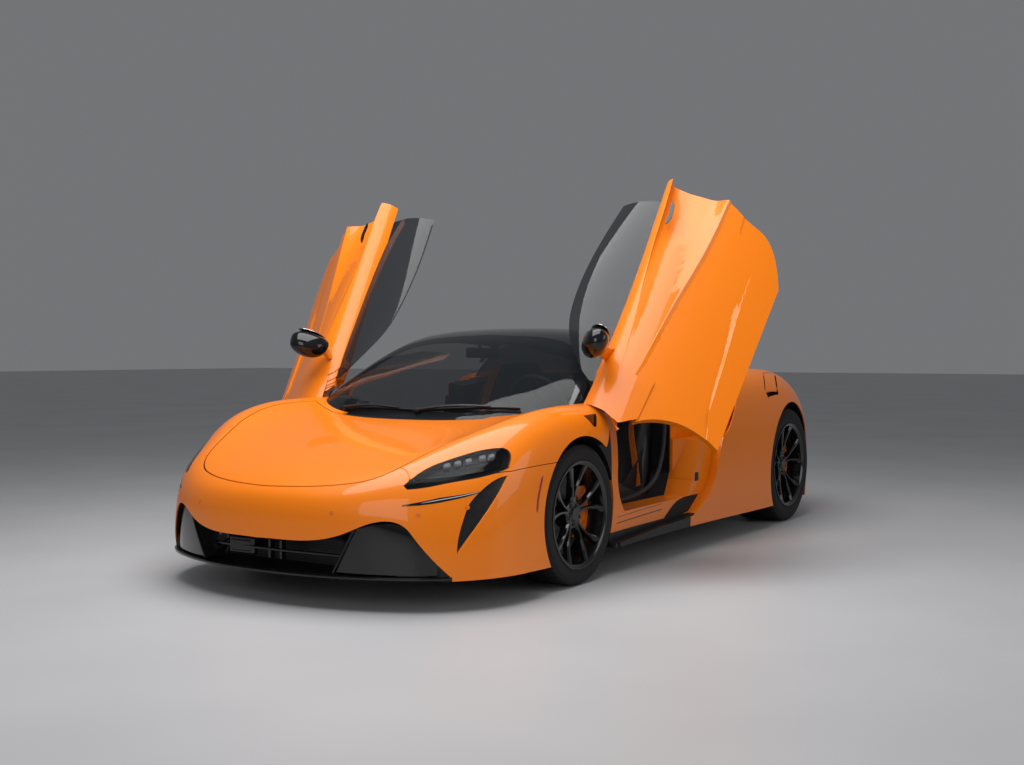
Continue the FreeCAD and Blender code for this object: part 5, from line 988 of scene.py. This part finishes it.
# Along that line, as (share, size): half the width, and the bolsters' height
SEAT_WIDTHS = ((0, 0.225), (0.1, 0.24), (0.3, 0.244), (0.5, 0.238), (0.62, 0.242), (0.74, 0.242),
               (0.84, 0.205), (0.92, 0.14), (1, 0.115))
BOLSTERS = ((0, 0.01), (0.1, 0.03), (0.35, 0.045), (0.5, 0.05), (0.65, 0.07), (0.8, 0.05), (0.9, 0.015),
            (1, 0.0))
SEAT_X = 0.375
QUILT_DEPTH = 0.004


def seat_piece(name, sign):
    """A bucket seat: front and rear curves from cushion to headrest, lofted across its width.

    Across u, the thickness closes as (1 - u^8)^(1/4), side bolsters rise beyond |u| = 0.5 and the
    middle is quilted by a sine along the seat.
    """
    v = np.linspace(0, 1, 60)
    front, back = through(SEAT_FRONT, 60), through(SEAT_BACK, 60)
    width, raised = (np.interp(v, *zip(*table)) for table in (SEAT_WIDTHS, BOLSTERS))
    quilt = QUILT_DEPTH * np.abs(np.sin(v * 44)) * ((v > 0.12) & (v < 0.86))
    u = np.sin(np.linspace(-1, 1, 41) * np.pi / 2)
    middle, spread = (front + back) / 2, (front - back) / 2
    normal = unit(spread)
    closing = (1 - np.clip(np.abs(u), 0, 1) ** 8) ** 0.25
    step = np.clip((np.abs(u) - 0.5) / 0.28, 0, 1)
    bolster = step * step * (3 - 2 * step)
    rows = []
    for way in (1, -1):
        off = spread[None] * closing[:, None, None] * way
        if way > 0:
            lift = bolster[:, None] * raised[None] + (1 - bolster)[:, None] * (quilt[None] - QUILT_DEPTH)
            off = off + normal[None] * (lift * closing[:, None])[..., None]
        rows.append(middle[None] + off)
    loop = np.concatenate([rows[0], rows[1][:, ::-1]], 1)
    across = np.concatenate([width, width[::-1]])
    x = sign * SEAT_X + u[:, None] * across[None]
    grid = np.concatenate([x[..., None], loop], -1)
    return grid_piece(name, grid, caps=True, limit=50)


BELT_LINE = ((0.475, 0.30, 0.99), (0.50, 0.235, 0.83), (0.515, 0.165, 0.64), (0.575, 0.09, 0.47),
             (0.625, 0.03, 0.33))
BELT_THICKNESS, BELT_WIDTH = 0.003, 0.046
SEAL_LINE = ((0.742, -0.74, 0.300), (0.742, -0.45, 0.300), (0.742, -0.18, 0.318), (0.742, 0.00, 0.375),
             (0.742, 0.085, 0.480), (0.742, 0.12, 0.62), (0.735, 0.14, 0.80))
SEAL_RADIUS = 0.011
SILL_GROOVE_SHADES = ((0.232, 0.006), (0.262, 0.003))  # painted shade of the sill's two grooves, as flat black strips: height and width
SILL_X, SILL_FRONT, SILL_END, SILL_RISE = 0.93, -0.74, -0.20, 0.012
SILL_DEPTH = 0.0500  # of the sill inside the body's surface, where the closed door passes over it
INTAKE_DEPTH = 0.0492
# A near-black sheet ahead of the rear wheel, painted shade for the intake's opening: its upper and lower
# edges
INTAKE_SHADE_EDGES = (
    ((0.93, -0.160, 0.205), (0.93, -0.06, 0.258), (0.94, 0.05, 0.282), (0.946, 0.235, 0.284)),
    ((0.93, -0.180, 0.186), (0.93, -0.10, 0.187), (0.935, 0.00, 0.190), (0.94, 0.115, 0.200)))
MIRROR_STEM = ((0, -0.605, 1.108), (0, -0.585, 1.095), (0, -0.568, 1.075))


class CAR_OT_cabin(bpy.types.Operator):
    """Make the padded seats, belts, dashboard, steering wheel and door seals"""
    bl_idname = "car.cabin"
    bl_label = "Cabin"

    def execute(self, context):
        seats = joined("seats_padded", [seat_piece("seat", 1), seat_piece("seat", -1)])
        finish_piece(seats, "body", "seat", None, "seats")
        straps, seals, grooves, intake_shade_sheets = [], [], [], []
        for sign in (1, -1):
            mark = (sign, 1, 1)
            straps.append(swept("belt", through(BELT_LINE, 40) * mark,
                                pad_profile(BELT_THICKNESS, BELT_WIDTH, 0.2, 12), up=(0, 0.3, 1)))
            seals.append(tube("seal", through(SEAL_LINE, 60) * mark, SEAL_RADIUS))
            # Each groove's dark line is painted shade: a flat gloss-black strip on the sill, not a cut
            for height, width in SILL_GROOVE_SHADES:
                groove = np.stack([np.full(30, sign * SILL_X), np.linspace(SILL_FRONT, SILL_END, 30),
                                   np.linspace(height, height + SILL_RISE, 30)], 1)
                grooves.append(strip("groove", "body", groove, width, -SILL_DEPTH, SILL_DEPTH + 0.004,
                                     taper=0.05))
            # Painted shade of the intake: a flat near-black sheet on the sill where the opening is
            intake_shade_sheets.append(patch("intake_shade_sheet", "body", between(*INTAKE_SHADE_EDGES, 30, 10) * mark, -INTAKE_DEPTH))
        # The sill's painted groove shade, joined into one gloss-black piece
        finish_piece(joined("sill_groove_shades", grooves), "body", "gloss_black")
        inner_mirror = [block("glass_back", (0, -0.560, 1.062), (0.210, 0.022, 0.056), 0.010),
                        tube("stem", through(MIRROR_STEM, 12), 0.007)]
        finish_piece(joined("inner_mirror", inner_mirror), "body", "carbon")
        # The intakes' painted shade, in the dull tyre finish
        finish_piece(joined("painted_intake_shade", intake_shade_sheets), "body", "trim", "tyre")
        finish_piece(joined("belts", straps), "body", "belt")
        finish_piece(joined("opening_seals", seals), "body", "rubber")
        for node in ("dashboard", "steering_wheel"):
            finish_piece(soft_copy(node), BODY_OF[node], SLOT_OF[node], None, node)
        return {"FINISHED"}


# The door's front corner, closed: each skin runs from a line ahead to a line behind
DOOR_CORNER = (
    (((0.930, -0.860, 0.550), (0.935, -0.885, 0.585), (0.940, -0.905, 0.610), (0.940, -0.915, 0.628),
      (0.940, -0.908, 0.645), (0.942, -0.904, 0.662), (0.942, -0.892, 0.690), (0.941, -0.883, 0.720),
      (0.9235, -0.877, 0.760), (0.9085, -0.873, 0.780), (0.8856, -0.871, 0.800), (0.862, -0.869, 0.812)),
     ((0.930, -0.722, 0.550), (0.937, -0.722, 0.600), (0.940, -0.722, 0.660), (0.937, -0.722, 0.720),
      (0.920, -0.722, 0.760), (0.9057, -0.722, 0.780), (0.884, -0.722, 0.800), (0.860, -0.722, 0.812))),
    (((0.930, -0.724, 0.550), (0.940, -0.724, 0.640), (0.9368, -0.724, 0.728)),
     ((0.930, -0.652, 0.550), (0.937, -0.652, 0.640), (0.934, -0.652, 0.728))))


# The left side of the nose: pairs are the upper and the lower edge of a patch
MOUTH_SIDE = (
    ((0.47, -2.19, 0.340), (0.53, -2.16, 0.358), (0.60, -2.12, 0.368), (0.66, -2.06, 0.345)),
    ((0.37, -2.20, 0.160), (0.50, -2.16, 0.156), (0.64, -2.10, 0.154), (0.79, -1.98, 0.154)))
MOUTH_RIB = ((0.47, -2.19, 0.342), (0.37, -2.20, 0.158))
MOUTH_BACK = ((0.33, -2.095, 0.285), (0.33, -2.095, 0.160))
LAMP_SLOT = ((0.640, -2.090, 0.441), (0.700, -2.040, 0.449), (0.754, -1.985, 0.461),
             (0.812, -1.915, 0.474), (0.857, -1.848, 0.487))
# Painted shade of the gap at the fender's rear edge, a flat gloss-black patch: its two edges
FENDER_GAP_SHADE = (
    ((0.919, -1.090, 0.772), (0.917, -1.030, 0.775), (0.915, -0.968, 0.775)),
    ((0.944, -1.044, 0.724), (0.946, -1.030, 0.719), (0.946, -1.016, 0.724)))
SIDE_MARKER = ((0.960, -1.560, 0.380), (0.962, -1.552, 0.430), (0.961, -1.536, 0.480),
               (0.957, -1.512, 0.535))
SENSORS = ((0.375, -2.21, 0.405), (0.700, -2.06, 0.405), (0.850, -1.915, 0.432))
SENSOR_RINGS = ((-0.003, 0.010), (0.0006, 0.010), (0.0012, 0.0085), (0.0006, 0.0075))  # lift and radius
HEADLAMP = (
    ((0.50, -2.040, 0.532), (0.62, -1.944, 0.586), (0.72, -1.830, 0.625), (0.83, -1.700, 0.652)),
    ((0.52, -2.045, 0.514), (0.68, -1.931, 0.532), (0.80, -1.800, 0.556), (0.90, -1.690, 0.600)))
HEADLAMP_DEPTH = 0.030
REFLECTORS = ((52, 0.42), (62, 0.40), (72, 0.38), (85, 0.34), (93, 0.36))  # per cent along, share down
REFLECTOR_LIFTS = ((-0.030,), (-0.014,), (-0.011,), (-0.011,))
REFLECTOR_SHARES = ((1, 1), (1, 1), (0.9, 0.85), (0.6, 0.5))
BROW_DEPTH, BROW_RADIUS = 0.014, 0.0035


class CAR_OT_nose(bpy.types.Operator):
    """Make the mouth's side panels, mesh and lip, the lamp slots, sensors and the headlamps' insides"""
    bl_idname = "car.nose"
    bl_label = "Nose"

    def execute(self, context):
        gloss, slots, glow, dots, markers, housings = [], [], [], [], [], []
        for sign in (1, -1):
            mark = np.array([sign, 1, 1])
            gloss.append(patch("side_panel", "body", between(*MOUTH_SIDE, 24) * mark, -0.020))
            foot, normals = on_surface("body", np.linspace(*MOUTH_RIB, 16) * mark)
            gloss.append(swept("rib", foot - normals * 0.012, pad_profile(0.010, 0.014, 0.3, 12),
                               up=(0, -1, 0.2)))
            back = np.linspace(*MOUTH_BACK, 16) * mark
            gloss.append(sheet_piece("vane", between(foot - normals * 0.018, back, 16, 12), (0, SHEET, 0)))
            path = np.array(LAMP_SLOT) * mark
            slots.append(strip("slot", "body", path, 0.020, SKIN, taper=0.5))
            # The fender gap is painted shade: a flat black patch on the paint
            slots.append(patch("fender_gap_shade", "body", between(*FENDER_GAP_SHADE, 20, 8) * mark, SKIN))
            glow.append(strip("light_line", "body", path[1:] + (0, 0, 0.001), 0.004, 2 * SKIN, taper=0.2))
            markers.append(strip("marker", "body", np.array(SIDE_MARKER) * mark, 0.013, taper=0.1))
            for spot in SENSORS:
                foot, normals = on_surface("body", np.array([spot]) * mark)
                lift, radius = np.array(SENSOR_RINGS).T[..., None]
                dots.append(swept("sensor", foot + normals * lift, circle(1, 20), up=(0, 0.1, 1),
                                  scale=radius * (1, 1)))
            housings.append(patch("housing", "body", between(*HEADLAMP, 30, 12) * mark, -HEADLAMP_DEPTH))
            for place, down in REFLECTORS:
                high, low = (through(line, 101)[place] for line in HEADLAMP)
                foot, normals = on_surface("body", (high * (1 - down) + low * down)[None] * mark)
                glow.append(swept("reflector", foot + normals * REFLECTOR_LIFTS,
                                  pad_profile(0.030, 0.020, 0.3, 20), up=(0, -0.3, 1),
                                  scale=np.array(REFLECTOR_SHARES)))
            for row in (2, 15):
                foot, normals = on_surface("body", between(*HEADLAMP, 40, 24)[4:37, row] * mark)
                housings.append(tube("brow", foot - normals * BROW_DEPTH, BROW_RADIUS, 8))
        across = np.linspace(-0.80, 0.80, 61)
        front = np.stack([across, -2.26 + 0.42 * across ** 2, np.full(61, 0.152)], 1)
        foot, normals = on_surface("body", front)
        edge = foot * (1, 1, 0) + (0, 0.024, 0.1415)
        gloss.append(swept("lip", edge, pad_profile(0.044, 0.014, 0.25, 16)))
        ahead = edge[7:54]
        behind = np.stack([ahead[:, 0] * 0.93, np.full(len(ahead), -2.072), np.full(len(ahead), 0.163)], 1)
        gloss.append(sheet_piece("mouth_floor", between(ahead, behind, len(ahead), 8), (0, 0, SHEET)))
        shelf = np.linspace(-0.46, 0.46, 41)
        roof_line = np.stack([shelf, -2.225 + 0.20 * shelf ** 2, 0.292 + 0.18 * shelf ** 2], 1)
        deep = np.stack([shelf * 0.8, np.full(41, -2.095), np.full(41, 0.276)], 1)
        gloss.append(sheet_piece("shelf", between(roof_line, deep, 41, 8), (0, 0, SHEET)))
        bar = np.stack([shelf * 0.8, -2.165 + 0.10 * shelf ** 2, np.full(41, 0.222)], 1)
        gloss.append(swept("bar", bar, pad_profile(0.018, 0.012, 0.3, 12)))
        for x in (-0.02, 0.045):
            gloss.append(block("tow_post", (x, -2.150, 0.222), (0.014, 0.03, 0.085), 0.004))
        gloss.append(block("radar", (-0.185, -2.150, 0.224), (0.150, 0.030, 0.078), 0.010))
        gloss.append(block("radar_rim", (-0.185, -2.158, 0.224), (0.118, 0.022, 0.050), 0.006))
        # A solid plate at the back of the mouth; its mesh gaps are painted shade
        mesh = block("grille_back", (0, -2.075, 0.224), (1.16, 0.010, 0.125), 0.002)
        finish_piece(joined("mouth_panels", gloss), "body", "gloss_black", None, "front_grille")
        finish_piece(joined("mouth_mesh_and_gap_shade", [mesh]), "body", "mesh")
        # The lamp slots, and the fender gap's painted shade
        finish_piece(joined("lamp_slots_and_gap_shade", slots), "body", "gloss_black")
        finish_piece(joined("light_inserts", glow), "body", "lamp")
        finish_piece(joined("sensors", dots), "body", "caliper")
        finish_piece(joined("side_markers", markers), "body", "red_lens")
        finish_piece(joined("lamp_housings", housings), "body", "gloss_black")
        return {"FINISHED"}


DOOR_SKIN_LIFT, DOOR_SKIN = 0.0008, 0.0035
MIRROR_MIDDLE = np.array([1.030, -0.6095, 0.882])
MIRROR_HALF_WIDTH, MIRROR_HALF_HEIGHT, MIRROR_FRONT, MIRROR_BACK = 0.104, 0.060, 0.092, 0.050
MIRROR_GLASS = (0.084, 0.0425, 0.046)  # half width, distance behind the middle, half height
MIRROR_ARM = ((0.868, -0.575, 0.790), (0.895, -0.592, 0.815), (0.935, -0.600, 0.842),
              (0.975, -0.606, 0.862))
# Painted shade of the handle recess near the door's rear edge: a flat gloss-black strip
DOOR_SLOT_SHADE = ((0.900, 0.325, 0.850), (0.904, 0.285, 0.842), (0.904, 0.240, 0.832), (0.898, 0.190, 0.834))
STRIKER = ((0.893, 0.190, 0.385), (0.8975, 0.191, 0.385), (0.8988, 0.198, 0.385),
           (0.8988, 0.212, 0.385), (0.8975, 0.219, 0.385), (0.893, 0.220, 0.385))
WIPERS = (((-0.47, -1.115, 0.760), (0.05, -1.165, 0.765)),  # pivot and tip
          ((0.03, -1.165, 0.765), (0.56, -1.060, 0.775)))


class CAR_OT_outside(bpy.types.Operator):
    """Make the oval mirrors on painted arms, the wipers, the door slots' painted shade, door corners and
    latches
    """
    bl_idname = "car.outside"
    bl_label = "Mirrors and small outside parts"

    def execute(self, context):
        for side, sign in SIDES.items():
            body = BODY_OF["mirror_" + side]
            t = np.linspace(0, np.pi, 26)
            size = np.sin(t) ** 0.75
            path = MIRROR_MIDDLE + np.cos(t)[:, None] * (-MIRROR_HALF_WIDTH, 0.010, 0.006)
            angle = turns(32)
            deep = np.where(np.cos(angle) < 0, MIRROR_FRONT, MIRROR_BACK) * np.cos(angle)
            tall = MIRROR_HALF_HEIGHT * np.sin(angle) * (1 - 0.15 * np.cos(angle))
            grid = path[:, None] + size[:, None, None] * np.stack([0 * deep, deep, tall], 1)[None]
            grid[:, :, 1] = np.minimum(grid[:, :, 1], MIRROR_MIDDLE[1] + 0.042)
            shell = grid_piece("mirror_shell_" + side, on_door(grid, sign)[:, ::sign], limit=50)
            finish_piece(shell, body, "gloss_black", None, "mirror_" + side)
            angle = turns(28)
            face = MIRROR_MIDDLE + np.stack([np.cos(angle), np.ones(28), np.sin(angle)], 1) * MIRROR_GLASS
            face = on_door(np.stack([face, face + (0, 0.0015, 0)]), sign)
            glass = grid_piece("mirror_glass_" + side, face[:, ::-sign], caps=True)
            finish_piece(glass, body, "steel")
            scale = np.stack([np.linspace(1.5, 0.8, 16), np.linspace(1.2, 0.9, 16)], 1)
            base, up = on_door(np.array([[0, 0, 0], [0, 0, 1.0]]), sign)
            arm = swept("mirror_arm_" + side, on_door(through(MIRROR_ARM, 16), sign),
                        pad_profile(0.052, 0.015, 0.35), up=up - base, scale=scale)
            finish_piece(arm, body, "paint")
            # The handle recess is painted shade: a flat black ribbon on the raised door
            foot, normals = on_surface("body", through(DOOR_SLOT_SHADE, 24))
            line = on_door(foot, sign)
            slot = ribbon("door_slot_shade_" + side, line, on_door(foot + normals, sign) - line,
                          0.011 * drawn_in(24, 0.2, 0.1), SKIN, SKIN / 2, 0.003)
            finish_piece(slot, BODY_OF["door_" + side], "gloss_black")
            corner = [patch("corner", "body", between(*edges, 48, 28), DOOR_SKIN_LIFT, DOOR_SKIN, sign)
                      for edges in DOOR_CORNER]
            finish_piece(joined("door_corner_" + side, corner), BODY_OF["door_" + side], "paint")
            latch = [block("latch", (sign * 0.891, 0.205, 0.385), (0.016, 0.050, 0.050), 0.004),
                     block("latch_face", (sign * 0.8985, 0.205, 0.385), (0.006, 0.030, 0.032), 0.002)]
            finish_piece(joined("latch_" + side, latch), "body", "rubber")
            striker = tube("striker_" + side, through(STRIKER, 20) * (sign, 1, 1), 0.0025, 8)
            finish_piece(striker, "body", "steel")
        wipers = []
        for ends in WIPERS:
            foot, normals = on_surface("glasshouse", np.linspace(*ends, 30))
            wipers.append(swept("blade", foot + normals * 0.010, pad_profile(0.010, 0.016, 0.3, 10),
                                up=normals.mean(0)))
            arm = foot[:22] + normals[:22] * (0.020 + 0.010 * np.sin(np.linspace(0, np.pi, 22)))[:, None]
            wipers.append(swept("arm", arm, pad_profile(0.014, 0.008, 0.3, 10), up=normals.mean(0),
                                scale=np.stack([np.linspace(1.4, 0.7, 22), np.ones(22)], 1)))
            wipers.append(lathe("pivot", [(-0.012, 0.001), (-0.012, 0.016), (0.010, 0.015), (0.014, 0.010),
                                          (0.014, 0.001)], foot[0] + normals[0] * 0.012, 20))
        finish_piece(joined("wipers", wipers), "body", "carbon")
        return {"FINISHED"}


TAIL_MESH_Y, TAIL_MESH_HALF_WIDTH = 2.135, 0.60
TIP_X, TIP_HEIGHT = 0.088, 0.640  # the two exhaust tips
TIP_PROFILE = np.array([(0.046, -0.10), (0.046, 0), (0.048, 0.006), (0.052, 0.008), (0.056, 0.004),
                        (0.057, -0.004), (0.053, -0.010), (0.053, -0.10)])  # radius and y
TAIL_STRIP = ((0.48, 2.20, 0.803), (0.56, 2.19, 0.796), (0.635, 2.17, 0.784), (0.685, 2.14, 0.757),
              (0.708, 2.12, 0.722))


class CAR_OT_tail(bpy.types.Operator):
    """Make the tail's mesh, light strips and exhaust rims"""
    bl_idname = "car.tail"
    bl_label = "Tail"

    def execute(self, context):
        across = np.linspace(-TAIL_MESH_HALF_WIDTH, TAIL_MESH_HALF_WIDTH, 49)
        share = np.abs(across) / TAIL_MESH_HALF_WIDTH
        top = np.stack([across, np.full(49, TAIL_MESH_Y), 0.795 - 0.045 * share ** 3], 1)
        low = np.stack([across, np.full(49, TAIL_MESH_Y), 0.500 + 0.17 * np.clip(share - 0.7, 0, 1) / 0.3], 1)
        # A solid sheet whose mesh gaps are painted shade
        sheet = sheet_piece("tail_mesh_and_gap_shade", between(top, low, 49, 12), (0, -0.004, 0))
        finish_piece(sheet, "body", "mesh")
        rims, strips = [], []
        angle = turns(48)
        exhaust_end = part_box("exhaust")[1][1]
        radius, y = TIP_PROFILE.T
        for sign in (1, -1):
            grid = np.stack([sign * TIP_X + radius * np.cos(angle)[:, None],
                             exhaust_end - 0.006 + np.broadcast_to(y, (48, len(y))),
                             TIP_HEIGHT + radius * np.sin(angle)[:, None]], -1)
            rims.append(grid_piece("tip", grid, loop=True))
            strips.append(strip("tail_strip", "body", np.array(TAIL_STRIP) * (sign, 1, 1), 0.006, 0.0022,
                                taper=0.1))
        finish_piece(joined("exhaust_rims", rims), "body", "exhaust")
        finish_piece(joined("tail_strips", strips), "body", "tail_glow")
        return {"FINISHED"}


class CAR_OT_rest(bpy.types.Operator):
    """Dress the CAD parts that keep their own shape"""
    bl_idname = "car.rest"
    bl_label = "Remaining parts"

    def execute(self, context):
        for node in NODES:
            if not NODES[node].hide_render:
                dress_node(node, SLOT_OF[node])
        return {"FINISHED"}


class CAR_PT_panel(bpy.types.Panel):
    bl_idname = "CAR_PT_panel"
    bl_label = "Supercar"
    bl_space_type = "VIEW_3D"
    bl_region_type = "UI"
    bl_category = "Supercar"

    def draw(self, context):
        settings = context.scene.supercar
        for name in ("paint", "camera_height", "lens", "lamp_power"):
            self.layout.prop(settings, name)
        for operator in OPERATORS:
            self.layout.operator(operator.bl_idname)


OPERATORS = (CAR_OT_stage, CAR_OT_panels, CAR_OT_glasshouse, CAR_OT_wheels, CAR_OT_cabin,
             CAR_OT_nose, CAR_OT_outside, CAR_OT_tail, CAR_OT_rest)
CLASSES = (CarSettings,) + OPERATORS + (CAR_PT_panel,)


def register():
    for cls in CLASSES:
        bpy.utils.register_class(cls)
    bpy.types.Scene.supercar = bpy.props.PointerProperty(type=CarSettings)


def unregister():
    del bpy.types.Scene.supercar
    for cls in reversed(CLASSES):
        bpy.utils.unregister_class(cls)


def main():
    register()
    for operator in OPERATORS:
        group, name = operator.bl_idname.split(".")
        getattr(getattr(bpy.ops, group), name)()


if __name__ == "__main__":
    main()
